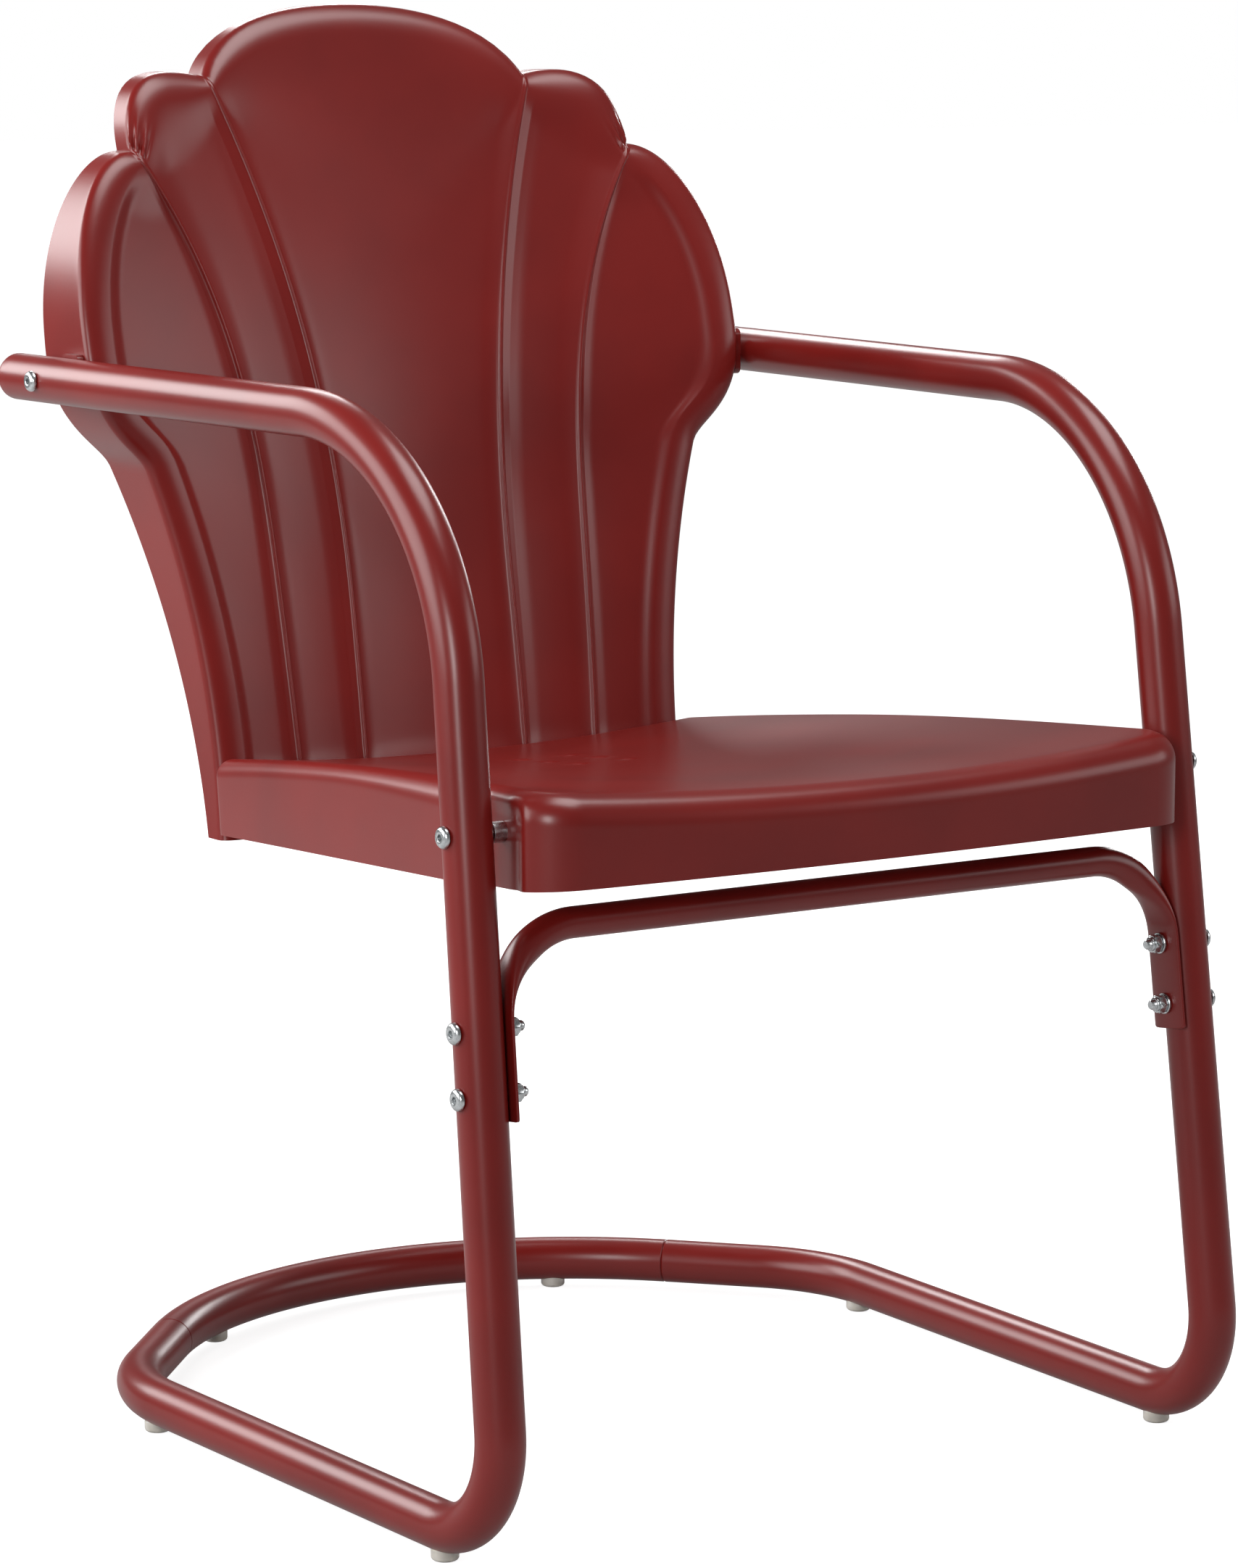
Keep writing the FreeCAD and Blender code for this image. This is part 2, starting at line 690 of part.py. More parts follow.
def crown_outline():
    """Edge of the middle petal from the right inner notch over the crown to the left one."""
    top = flat(0, size["crown_height"])
    left = flat(size["inner_notch_half"], size["inner_notch_height"])
    fall = flat(size["crown_shoulder"], -size["crown_shoulder"] * CROWN_FALL)
    right_half = bezier([mirrored(left), mirrored(left - fall), mirrored(top + flat(size["crown_flat"], 0)), top])
    left_half = bezier([top, top + flat(size["crown_flat"], 0), left - fall, left])
    return Part.Wire([right_half, left_half])


def inset(points, width, starting=None, ending=None):
    """Line inside an edge at this width, led to a mitre point at either end."""
    moved = []
    last = len(points) - 1
    for step, point in enumerate(points):
        along = points[min(step + 1, last)] - points[max(step - 1, 0)]
        inward = flat(along.z, -along.x).normalize()
        moved.append(point + inward * width)
    for target, order in ((starting, 1), (ending, -1)):
        if target is None:
            continue
        miss = target - moved[::order][0]
        for step in range(last + 1):
            share = max(1 - step / last / MITRE_REACH, 0)
            index = step if order == 1 else last - step
            moved[index] = moved[index] + miss * share ** 2
    return moved


def flange_depth(stretch, height):
    """Depth of the edge flange behind the rounded rim at a height."""
    if stretch == "wing":
        low = (height - size["shell_foot"]) / (size["flange_peak"] - size["shell_foot"])
        high = (height - size["flange_peak"]) / (size["outer_notch_height"] - size["flange_peak"])
        if low < 1:
            return size["foot_flange"] + (size["wing_flange"] - size["foot_flange"]) * low
        fall = size["wing_flange"] - size["notch_flange"]
        return size["wing_flange"] - fall * high ** WING_FLANGE_POWER
    if stretch == "lobe":
        return size["notch_flange"]
    share = (height - size["inner_notch_height"]) / (size["crown_height"] - size["inner_notch_height"])
    return size["notch_flange"] + (size["crown_flange"] - size["notch_flange"]) * eased(share)


def rim_rows(stretch, edge, inner, skin):
    """Rounded rim from the face to the edge, then the flange to its rear edge, on one skin."""
    share = skin * size["sheet"] / size["rim_width"]
    rims = []
    flanges = []
    for outer_point, inner_point in zip(edge, inner):
        outer = outer_point + (inner_point - outer_point) * share
        row = []
        for step in range(RIM_STEPS + 1):
            angle = math.pi / 2 * step / RIM_STEPS
            spot = inner_point + (outer - inner_point) * math.sin(angle)
            drop = size["rim_drop"] * (1 - math.cos(angle)) + skin * size["sheet"]
            row.append(Vector(spot.x, face_depth(spot.x, spot.z) + drop, spot.z))
        rear_depth = face_depth(outer_point.x, outer_point.z) + flange_depth(stretch, outer_point.z)
        rear = Vector(outer.x, rear_depth, outer.z)
        rims.append(row)
        flanges.append([row[-1] + (rear - row[-1]) * (step / FLANGE_STEPS) for step in range(FLANGE_STEPS + 1)])
    return rims, flanges


def petal_rows(lefts, rights, feet, tips, skin):
    """Hollowed face of a petal between two ribs, its foot and its tip."""
    rows = []
    last = len(lefts) - 1
    wide = len(feet) - 1
    for step, (left, right) in enumerate(zip(lefts, rights)):
        up = step / last
        row = []
        for place, (foot, tip) in enumerate(zip(feet, tips)):
            over = place / wide
            sides_point = left * (1 - over) + right * over
            ends_point = foot * (1 - up) + tip * up
            low = lefts[0] * (1 - over) + rights[0] * over
            high = lefts[-1] * (1 - over) + rights[-1] * over
            spot = sides_point + ends_point - low * (1 - up) - high * up
            bowl = 4 * over * (1 - over) * (1 - up ** TIP_POWER)
            foot_share = eased((spot.z - size["flute_foot"]) / size["flute_rise"])
            hollow = size["flute_depth"] * bowl * foot_share
            depth = face_depth(spot.x, spot.z) + hollow + skin * size["sheet"]
            row.append(Vector(spot.x, depth, spot.z))
        rows.append(row)
    return rows


def rib_points(rib, notch_height):
    """Rib from the shell's foot to the mitre below its notch."""
    top = notch_height - MITRE * size["rim_width"]
    points = []
    for step in range(RIB_SAMPLES):
        height = size["shell_foot"] + (top - size["shell_foot"]) * step / (RIB_SAMPLES - 1)
        points.append(flat(rib(height), height))
    return points


def shell_stretches():
    """Face, rim and flange grids of the whole shell on both skins, as (outer, inner) pairs."""
    inner = rib_points(inner_rib, size["inner_notch_height"])
    outer = rib_points(outer_rib, size["outer_notch_height"])
    wing_edge = wing_outline().discretize(Number=RIB_SAMPLES)
    lobe_edge = lobe_outline().discretize(Number=LOBE_SAMPLES)
    crown_edge = crown_outline().discretize(Number=CROWN_SAMPLES)
    foot_inner = flat(wing_edge[0].x - size["rim_width"], size["shell_foot"])
    wing_inner = inset(wing_edge, -size["rim_width"], foot_inner, outer[-1])
    lobe_inner = inset(lobe_edge, size["rim_width"], inner[-1], outer[-1])
    crown_inner = inset(crown_edge, size["rim_width"], mirrored(inner[-1]), inner[-1])
    rib_mirror = [mirrored(point) for point in inner]
    wide_foot = even(rib_mirror[0], inner[0], CROWN_SAMPLES)
    lobe_foot = even(inner[0], outer[0], LOBE_SAMPLES)
    wing_foot = even(outer[0], wing_inner[0], LOBE_SAMPLES)
    wing_tip = [outer[-1]] * LOBE_SAMPLES
    one_side = [
        [petal_rows(inner, outer, lobe_foot, lobe_inner, skin) for skin in (0, 1)],
        [petal_rows(outer, wing_inner, wing_foot, wing_tip, skin) for skin in (0, 1)],
    ]
    for stretch, edge, within in (("lobe", lobe_edge, lobe_inner), ("wing", wing_edge, wing_inner)):
        skins = [rim_rows(stretch, edge, within, skin) for skin in (0, 1)]
        one_side.append([skins[0][0], skins[1][0]])
        one_side.append([skins[0][1], skins[1][1]])
    skins = [rim_rows("crown", crown_edge, crown_inner, skin) for skin in (0, 1)]
    grids = [
        [petal_rows(rib_mirror, inner, wide_foot, crown_inner, skin) for skin in (0, 1)],
        [skins[0][0], skins[1][0]],
        [skins[0][1], skins[1][1]],
    ]
    for pair in one_side:
        grids.append(pair)
        grids.append([[[mirrored(point) for point in row] for row in rows] for rows in pair])
    return grids


def on_foot(row):
    return all(abs(point.z - size["shell_foot"]) < size["sheet"] / 10 for point in row)


def back_shell():
    faces = []
    for outer, inner in shell_stretches():
        faces.append(patch(outer))
        faces.append(patch(inner))
        if on_foot(outer[0]):
            faces.append(strip(outer[0], inner[0]))
        rear_rows = [[row[-1] for row in rows] for rows in (outer, inner)]
        is_flange = len(outer[0]) == FLANGE_STEPS + 1
        if is_flange:
            faces.append(strip(*rear_rows))
    return sewn_solid(faces)


# Stamped seat pan: a dished top with rolled edges and an edge flange all round

def seat_side(depth):
    """Distance of the seat's side from the middle at a depth."""
    leg = leg_at(size["seat_bolt_height"])
    front = leg_face(leg.z, -1) - size["seat_side_gap"]
    share = (depth - leg.y) / (size["seat_rear_depth"] - leg.y)
    return front + (size["seat_rear_half"] - front) * share


def seat_height(across, depth):
    """Height of the seat's top surface."""
    share = depth / size["seat_rear_depth"]
    bow = 4 * share * (1 - share)
    crest = size["seat_crest_front"] + (size["seat_crest_rear"] - size["seat_crest_front"]) * share
    crest = crest + size["seat_crest_bow"] * bow
    dip = size["seat_edge_dip"] + (size["seat_dip"] - size["seat_edge_dip"]) * bow
    return crest - dip * (1 - (across / seat_side(depth)) ** 2)


def is_corner(edge):
    """Whether an edge of the seat's block is one of its upright corners."""
    box = edge.BoundBox
    upright = box.ZLength > WORK_BELOW and box.XLength < box.ZLength * UPRIGHT_SHARE
    return upright and abs(edge.CenterOfMass.x) > size["seat_rear_half"] / 2


def with_round_corners(block, radius, way):
    """Block with its front (way -1) or rear (way 1) upright edges rounded."""
    middle = size["seat_rear_depth"] / 2
    edges = [edge for edge in block.Edges if is_corner(edge) and way * (edge.CenterOfMass.y - middle) > 0]
    return block.makeFillet(radius, edges)


def seat_outline(inward, rear, level):
    """Plan of the seat at a level: its bowed front, its two sides and a straight line behind the back."""
    inset_side = inward / math.cos(math.atan(seat_side(0) - seat_side(1)))
    bow_radius = size["seat_front_bow"] - inward
    bow_middle = size["seat_front"] + size["seat_front_bow"]
    across = seat_side(0) - inset_side
    for _ in range(CORNER_STEPS):
        depth = bow_middle - math.sqrt(bow_radius ** 2 - across ** 2)
        across = seat_side(depth) - inset_side
    left = Vector(across, depth, level)
    middle = Vector(0, bow_middle - bow_radius, level)
    far = Vector(seat_side(rear) - inset_side, rear, level)
    return Part.Wire([
        Part.Arc(mirrored(left), middle, left).toShape(),
        Part.LineSegment(left, far).toShape(),
        Part.LineSegment(far, mirrored(far)).toShape(),
        Part.LineSegment(mirrored(far), mirrored(left)).toShape(),
    ])


def seat_block(inward):
    """Solid under the seat's surface, taken in on every side and at the top by this much."""
    front = size["seat_front"] - SEAT_MARGIN
    rear = size["back_datum_depth"] + SEAT_MARGIN
    base = size["seat_hem_rear"] - WORK_BELOW
    ceiling = size["seat_crest_front"] + SEAT_MARGIN
    contact = size["seat_contact"] + inward
    line = even(-wing_half, wing_half, SURFACE_SAMPLES)
    tops = []
    for depth in even(front, rear, SURFACE_SAMPLES):
        tops.append([Vector(x, depth, seat_height(x, depth) - inward) for x in line])
    backs = []
    for height in even(base, ceiling, SURFACE_SAMPLES):
        backs.append([Vector(x, face_depth(x, height) - contact, height) for x in line])
    block = Part.Face(seat_outline(inward, rear, base)).extrude(Vector(0, 0, ceiling - base))
    block = block.cut(patch(backs).extrude(Vector(0, 2 * SEAT_MARGIN + WORK_BELOW, 0)))
    block = with_round_corners(block, size["seat_corner"] - inward, -1)
    block = with_round_corners(block, size["seat_rear_corner"] - inward, 1)
    block = block.common(patch(tops).extrude(Vector(0, 0, base - ceiling - SEAT_MARGIN)))
    top = max(block.Faces, key=lambda face: face.CenterOfMass.z)
    return block.makeFillet(size["seat_roll"] - inward, top.OuterWire.Edges)


def below_hem():
    """Everything under the sloping hem of the seat."""
    wide = 2 * wing_half
    fall = (size["seat_hem_rear"] - size["seat_hem_front"]) / size["seat_rear_depth"]
    front = size["seat_front"] - SEAT_MARGIN
    rear = size["back_datum_depth"] + SEAT_MARGIN
    low = size["seat_hem_rear"] - 2 * WORK_BELOW
    corners = [
        Vector(-wide / 2, front, low),
        Vector(-wide / 2, rear, low),
        Vector(-wide / 2, rear, size["seat_hem_front"] + fall * rear),
        Vector(-wide / 2, front, size["seat_hem_front"] + fall * front),
    ]
    return Part.Face(Part.makePolygon(corners + corners[:1])).extrude(Vector(wide, 0, 0))


def pocket_face():
    """Distance from the middle to the bottom of the pocket in the seat's side."""
    return leg_face(size["seat_bolt_height"], -1) - size["seat_side_gap"] - size["pocket_depth"]


def pocket(side, grown):
    """Space pressed in at a leg, grown on every side."""
    leg = leg_at(size["seat_bolt_height"])
    deep = size["tube_dia"]
    long = size["pocket_length"] + 2 * grown
    high = size["pocket_height"] + 2 * grown
    box = Part.makeBox(deep, long, high)
    levels = [edge for edge in box.Edges if edge.BoundBox.XLength > deep / 2]
    box = box.makeFillet(size["pocket_round"] + grown, levels)
    box.translate(Vector(pocket_face() - grown, leg.y - long / 2, leg.z - high / 2))
    return box if side > 0 else box.mirror(Vector(), Vector(1, 0, 0))


def drain_points():
    """Middle of each drain hole on the seat's surface."""
    points = []
    for across in (-size["drain_spread"] / 2, size["drain_spread"] / 2):
        for step in (-1, 0, 1):
            depth = size["drain_depth"] + step * size["drain_step"]
            points.append(Vector(across, depth, seat_height(across, depth)))
    return points


def back_bolt_lines():
    """Spot on the back's face and direction of each bolt between seat and back."""
    lines = []
    height = size["back_bolt_height"]
    for across in (size["back_bolt_inner"], size["back_bolt_outer"]):
        for label, side in sides:
            spot = Vector(side * across, face_depth(across, height), height)
            lines.append((spot, face_normal(side * across, height)))
    return lines


def back_holes():
    reach = 2 * size["washer_dia"]
    return [(hole_dia, spot - way * reach, spot + way * reach) for spot, way in back_bolt_lines()]


def seat_pan():
    outer = seat_block(0).cut(below_hem())
    inner = seat_block(size["sheet"])
    for label, side in sides:
        outer = outer.cut(pocket(side, 0))
        inner = inner.cut(pocket(side, size["sheet"]))
    holes = back_holes()
    for label, side in sides:
        holes.append(cross_hole(leg_at(size["seat_bolt_height"], side), side))
    for point in drain_points():
        drop = Vector(0, 0, size["drain_dia"])
        holes.append((size["drain_dia"], point - drop, point + drop))
    return drilled(outer.cut(inner), holes)


def finished_back():
    holes = back_holes()
    for label, side in sides:
        holes.append(cross_hole(arm_at(size["arm_bolt_depth"], side), side))
    return drilled(back_shell(), holes)


add_part("back_shell", finished_back())
add_part("seat_pan", seat_pan())


# Small turned and pressed pieces, each drawn once

def bound(kind, name, **formulas):
    """A simple solid whose sizes follow the sheet."""
    solid = doc.addObject("Part::" + kind, name)
    for field, formula in formulas.items():
        solid.setExpression(field, formula)
    return solid


def joined(kind, name, base, tool):
    result = doc.addObject("Part::" + kind, name)
    result.Base = base
    result.Tool = tool
    return result


BOLT_BORE = "sizes.bolt_dia / 2 + sizes.thread_fit"


def ring(name, diameter, height):
    """Washer or sleeve that a bolt passes through."""
    disc = bound("Cylinder", name + "_disc", Radius=diameter + " / 2", Height=height)
    bore = bound("Cylinder", name + "_bore", Radius=BOLT_BORE, Height=height)
    return joined("Cut", name, disc, bore)


def bolt(name, length):
    """Round-headed bolt with a hexagon socket, its shank along +Z from under the head."""
    shank = bound("Cylinder", name + "_shank", Radius="sizes.bolt_dia / 2")
    shank.Height = length
    head = bound("Cylinder", name + "_head", Radius="sizes.head_dia / 2", Height="sizes.head_height")
    head.setExpression("Placement.Base.z", "-sizes.head_height")
    doc.recompute()
    crown = -size["head_height"] / 2
    rims = [n for n, edge in enumerate(head.Shape.Edges, start=1) if edge.BoundBox.ZMax < crown]
    rounded = doc.addObject("Part::Fillet", name + "_round")
    rounded.Base = head
    rounded.Edges = [(number, size["head_round"], size["head_round"]) for number in rims]
    socket = bound(
        "Prism",
        name + "_socket",
        Circumradius="sizes.socket_flats / sqrt(3)",
        Height="sizes.socket_depth",
    )
    socket.Polygon = 6
    socket.setExpression("Placement.Base.z", "-sizes.head_height")
    head_solid = joined("Cut", name + "_solid_head", rounded, socket)
    return joined("Fuse", name, head_solid, shank)


def nut():
    """Lock nut with its collar, standing on its bearing face at the origin."""
    tall = "sizes.nut_height + sizes.collar_height"
    hexagon = bound("Prism", "nut_hexagon", Circumradius="sizes.nut_flats / sqrt(3)", Height="sizes.nut_height")
    hexagon.Polygon = 6
    collar = bound("Cylinder", "nut_collar", Radius="sizes.collar_dia / 2", Height=tall)
    bore = bound("Cylinder", "nut_bore", Radius=BOLT_BORE, Height=tall)
    return joined("Cut", "nut", joined("Fuse", "nut_blank", hexagon, collar), bore)


def placed(pattern, spot, along):
    """Copy of a small piece at a spot, its own Z turned along a direction."""
    copy = pattern.Shape.copy()
    copy.Placement = Placement(spot, Rotation(Vector(0, 0, 1), along))
    return copy


def sideways(side, across, centre):
    """Spot on the line of a bolt that runs across the chair."""
    return Vector(side * across, centre.y, centre.z)


seat_leg = leg_at(size["seat_bolt_height"])
seat_out = leg_face(seat_leg.z, 1) + fit
seat_in = pocket_face() - size["sheet"] - fit
arm_seat = arm_at(size["arm_bolt_depth"])
arm_out = arm_face(arm_seat.y, 1) + fit
edge_points = wing_outline().discretize(CROWN_SAMPLES * LOBE_SAMPLES)
near_nut = [point.x for point in edge_points if abs(point.z - arm_seat.z) < size["nut_flats"]]
arm_in = min(near_nut) - size["sheet"] - fit
washer_stack = size["washer_thick"] + fit
nut_end = size["nut_height"] + size["collar_height"] + size["bolt_tip"]
back_front = size["seat_contact"] + size["sheet"] + fit
back_rear = size["sheet"] + fit
brace_height = size["brace_bolt_upper"]
plate_tilt = slope(size["leg_draw_in"]) * size["washer_dia"] / 2
leg_width = leg_face(brace_height, 1) - leg_face(brace_height, -1)
brace_grip = leg_width + 3 * fit + size["plate_thick"] + plate_tilt

washer = ring("washer", "sizes.washer_dia", "sizes.washer_thick")
spacer_length = "sizes.pocket_depth + sizes.seat_side_gap - 2 * sizes.thread_fit"
spacer = ring("seat_spacer", "sizes.spacer_dia", spacer_length)
lock_nut = nut()
seat_bolt = bolt("seat_side_bolt", seat_out - seat_in + nut_end)
arm_bolt = bolt("arm_bolt", arm_out - arm_in + nut_end)
brace_bolt = bolt("brace_bolt", brace_grip + washer_stack + nut_end)
back_bolt = bolt("back_bolt", back_front + back_rear + washer_stack + nut_end)
doc.recompute()

groups = {}


def put(group, pattern, spot, along):
    groups.setdefault(group, []).append(placed(pattern, spot, along))


for label, side in sides:
    inward = Vector(-side, 0, 0)
    put("seat_side_bolts", seat_bolt, sideways(side, seat_out, seat_leg), inward)
    put("seat_side_nuts", lock_nut, sideways(side, seat_in, seat_leg), inward)
    put("seat_spacers", spacer, sideways(side, pocket_face() + fit, seat_leg), -inward)
    put("arm_bolts", arm_bolt, sideways(side, arm_out, arm_seat), inward)
    put("arm_nuts", lock_nut, sideways(side, arm_in, arm_seat), inward)
    for height in (size["brace_bolt_upper"], size["brace_bolt_lower"]):
        leg = leg_at(height)
        outside = leg_face(height, 1) + fit
        inside = leg_face(height, -1) - 2 * fit - size["plate_thick"] - plate_tilt
        put("brace_bolts", brace_bolt, sideways(side, outside, leg), inward)
        put("brace_washers", washer, sideways(side, inside, leg), inward)
        put("brace_nuts", lock_nut, sideways(side, inside - washer_stack, leg), inward)
for spot, way in back_bolt_lines():
    put("back_bolts", back_bolt, spot - way * back_front, way)
    put("back_washers", washer, spot + way * back_rear, way)
    put("back_nuts", lock_nut, spot + way * (back_rear + washer_stack), way)
for group, copies in groups.items():
    add_part(group, Part.makeCompound(copies))


# Floor glides, each cut to the tube that it stands under, and their screws

def glides():
    tall = size["glide_lift"] + size["glide_saddle"]
    round_tube = size["tube_dia"] + 2 * size["saddle_fit"]
    stock = [sweep(floor_path(side), round_tube) for label, side in sides]
    stock.append(sweep(bow_path(), round_tube))
    pads = []
    for point in glide_points():
        pad = Part.makeCylinder(size["glide_dia"] / 2, tall, point)
        for tube in stock:
            if tube.BoundBox.intersect(pad.BoundBox):
                pad = pad.cut(tube)
        recess = Vector(0, 0, size["screw_recess"] + size["screw_head_height"] + fit)
        pad = pad.cut(bar(size["screw_head_dia"] + 2 * fit, point, point + recess))
        pads.append(pad.cut(bar(size["screw_dia"] + 2 * fit, point, point + Vector(0, 0, tall))))
    return Part.makeCompound(pads)


def glide_screws():
    screws = []
    for point in glide_points():
        low = point + Vector(0, 0, size["screw_recess"])
        neck = low + Vector(0, 0, size["screw_head_height"])
        head = bar(size["screw_head_dia"], low, neck)
        screws.append(head.fuse(bar(size["screw_dia"], neck, neck + Vector(0, 0, size["screw_length"]))))
    return Part.makeCompound(screws)


add_part("floor_glides", glides())
add_part("glide_screws", glide_screws())


# Brackets between the edge flange of the back and the arms

def plate_corners(shape):
    """Names of the short edges at a plate's four corners."""
    names = []
    for number, edge in enumerate(shape.Edges, start=1):
        box = edge.BoundBox
        level = box.YLength < SAME_POINT and box.ZLength < SAME_POINT
        if level and abs(edge.CenterOfMass.z) > size["bracket_round"]:
            names.append(f"Edge{number}")
    return names


def bracket(label, side):
    """Flat plate with round corners and a bolt hole, drawn looking along X."""
    body = doc.addObject("PartDesign::Body", label + "_bracket_body")
    plane = [item for item in body.Origin.OriginFeatures if item.Role == "YZ_Plane"][0]
    sketch = body.newObject("Sketcher::SketchObject", label + "_bracket_outline")
    sketch.AttachmentSupport = (plane, "")
    sketch.MapMode = "FlatFace"
    half_wide = size["bracket_width"] / 2
    half_high = size["bracket_height"] / 2
    low_left = Vector(-half_wide, -half_high, 0)
    low_right = Vector(half_wide, -half_high, 0)
    high_right = Vector(half_wide, half_high, 0)
    high_left = Vector(-half_wide, half_high, 0)
    corners = [low_left, low_right, high_right, high_left]
    for start, end in zip(corners, corners[1:] + corners[:1]):
        sketch.addGeometry(Part.LineSegment(start, end))
    centre = Vector(-size["bracket_offset"], 0, 0)
    hole = sketch.addGeometry(Part.Circle(centre, Vector(0, 0, 1), hole_dia / 2))
    for number in range(4):
        sketch.addConstraint(Sketcher.Constraint("Coincident", number, 2, (number + 1) % 4, 1))
    for number, way in enumerate(("Horizontal", "Vertical", "Horizontal", "Vertical")):
        sketch.addConstraint(Sketcher.Constraint(way, number))
    sketch.addConstraint(Sketcher.Constraint("Symmetric", 0, 1, 2, 1, -1, 1))
    sketch.addConstraint(Sketcher.Constraint("PointOnObject", hole, 3, -1))
    measured = (
        (("DistanceX", 0, 1, 0, 2, size["bracket_width"]), "sizes.bracket_width"),
        (("DistanceY", 1, 1, 1, 2, size["bracket_height"]), "sizes.bracket_height"),
        (("DistanceX", hole, 3, -1, 1, size["bracket_offset"]), "sizes.bracket_offset"),
        (("Radius", hole, hole_dia / 2), BOLT_BORE),
    )
    for constraint, formula in measured:
        number = sketch.addConstraint(Sketcher.Constraint(*constraint))
        sketch.setExpression(f"Constraints[{number}]", formula)
    pad = body.newObject("PartDesign::Pad", label + "_bracket_plate")
    pad.Profile = sketch
    pad.SideType = "Symmetric"
    pad.setExpression("Length", "sizes.arm_gap - 2 * sizes.thread_fit")
    doc.recompute()
    rounding = body.newObject("PartDesign::Fillet", label + "_bracket_corners")
    rounding.Base = (pad, plate_corners(pad.Shape))
    rounding.setExpression("Radius", "sizes.bracket_round")
    body.Tip = rounding
    add_part(label + "_back_bracket", body=body)
    depth = size["arm_bolt_depth"] + size["bracket_offset"] - middle_depth
    spot = Vector(side * (wing_half + size["arm_gap"] / 2), depth, arm_seat.z)
    body.Placement = Placement(spot, Rotation())


for label, side in sides:
    bracket(label, side)

doc.recompute()
for item in doc.Objects:
    if "Invalid" in item.State or "Error" in item.State:
        raise RuntimeError(f"{item.Label} failed: {item.State}")
for piece in parts:
    if piece.Shape.isNull() or not piece.Shape.isValid():
        raise RuntimeError(f"{piece.Label} has no valid shape")
os.makedirs("parts", exist_ok=True)
for piece in parts:
    piece.Shape.exportStep(os.path.join("parts", piece.Label + ".step"))
    print(piece.Label, len(piece.Shape.Solids), "solids", round(piece.Shape.Volume), "mm3")
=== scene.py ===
# %% [markdown]
# A retro spring lawn chair: a bent steel tube frame, a stamped seat and a stamped back of five petals, all in
# red powder coat, with bright zinc bolts and milky floor glides. This lesson dresses the chair over its frame of
# plain solids, one piece at a time. Each cell says what the real piece is and why it is made this way.

# %% Load the frame of plain solids
from math import acos, asin, atan2, ceil, cos, hypot, pi, radians, sin, sqrt, tan

import bmesh
import bpy
import numpy as np
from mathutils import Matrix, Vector
from mathutils.geometry import delaunay_2d_cdt


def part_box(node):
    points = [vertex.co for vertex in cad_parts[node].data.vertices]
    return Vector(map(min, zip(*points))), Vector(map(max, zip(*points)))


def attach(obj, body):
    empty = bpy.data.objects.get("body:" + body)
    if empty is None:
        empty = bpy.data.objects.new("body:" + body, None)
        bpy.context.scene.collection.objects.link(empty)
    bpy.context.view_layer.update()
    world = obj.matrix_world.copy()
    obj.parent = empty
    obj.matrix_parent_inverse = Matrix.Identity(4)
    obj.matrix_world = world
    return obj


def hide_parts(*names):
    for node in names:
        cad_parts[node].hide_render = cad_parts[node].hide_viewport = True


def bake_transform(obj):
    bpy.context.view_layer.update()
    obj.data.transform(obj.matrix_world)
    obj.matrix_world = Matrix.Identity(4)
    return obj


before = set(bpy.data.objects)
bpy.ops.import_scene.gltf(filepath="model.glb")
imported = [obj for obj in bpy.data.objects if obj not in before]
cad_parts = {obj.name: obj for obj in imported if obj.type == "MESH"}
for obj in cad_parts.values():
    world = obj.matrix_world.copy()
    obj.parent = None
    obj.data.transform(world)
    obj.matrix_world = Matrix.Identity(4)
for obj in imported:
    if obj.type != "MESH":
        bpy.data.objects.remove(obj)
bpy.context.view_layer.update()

# %% [markdown]
# All lengths of the chair are in millimetres. Depths count back from the front floor corner, where the line of a
# leg meets the line of its runner. One function moves points from that drawing to the scene, in metres, so no
# piece is ever fitted by eye.

# %% From the drawing to the scene
MIDDLE_DEPTH = 296.8
ORIGIN = (0, MIDDLE_DEPTH, 0)


def to_scene(points, origin=ORIGIN):
    """Points of the drawing in millimetres, as scene points in metres."""
    return (np.asarray(points, float) - origin) / 1000


low, high = (np.array(corner) * 1000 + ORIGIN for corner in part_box("back_shell"))
print("back shell of the drawing", low.round(1), high.round(1))

# %% [markdown]
# A few small helpers come first. One adds a node to any tree and links or fills its inputs. One turns a hex
# colour, which is how a paint is named on a screen, into the linear values that a shader needs. The last makes a
# whole finish: a large noise shifts its colour and gloss a little, because a perfectly even surface looks false in
# a render, and a fine one tilts its reflection.

# %% Helpers for nodes, colours and finishes
def add(tree, kind, inputs=None, **settings):
    """New node with its settings; an input is given a value or another node's socket."""
    node = tree.nodes.new(kind)
    for name, value in settings.items():
        setattr(node, name, value)
    for name, value in (inputs or {}).items():
        if isinstance(value, bpy.types.NodeSocket):
            tree.links.new(value, node.inputs[name])
        else:
            node.inputs[name].default_value = value
    return node


def paint(code):
    """sRGB hex colour as linear red, green, blue and alpha."""
    shares = [int(code[place:place + 2], 16) / 255 for place in (1, 3, 5)]
    return [s / 12.92 if s <= 0.04045 else ((s + 0.055) / 1.055) ** 2.4 for s in shares] + [1]


def material(name):
    """Empty node material, with its tree and the output that takes the surface."""
    made = bpy.data.materials.new(name)
    made.use_nodes = True
    made.node_tree.nodes.clear()
    return made, made.node_tree, add(made.node_tree, "ShaderNodeOutputMaterial")


def noise(tree, spot, size, detail):
    """Noise whose features have a size in millimetres."""
    return add(tree, "ShaderNodeTexNoise", {"Vector": spot, "Scale": 1000 / size, "Detail": detail}).outputs["Fac"]


def ranged(tree, value, low, high, **others):
    """Value moved into a range, which starts and ends where others say, or at 0 and 1."""
    inputs = {"Value": value, "To Min": low, "To Max": high, **others}
    return add(tree, "ShaderNodeMapRange", inputs).outputs["Result"]


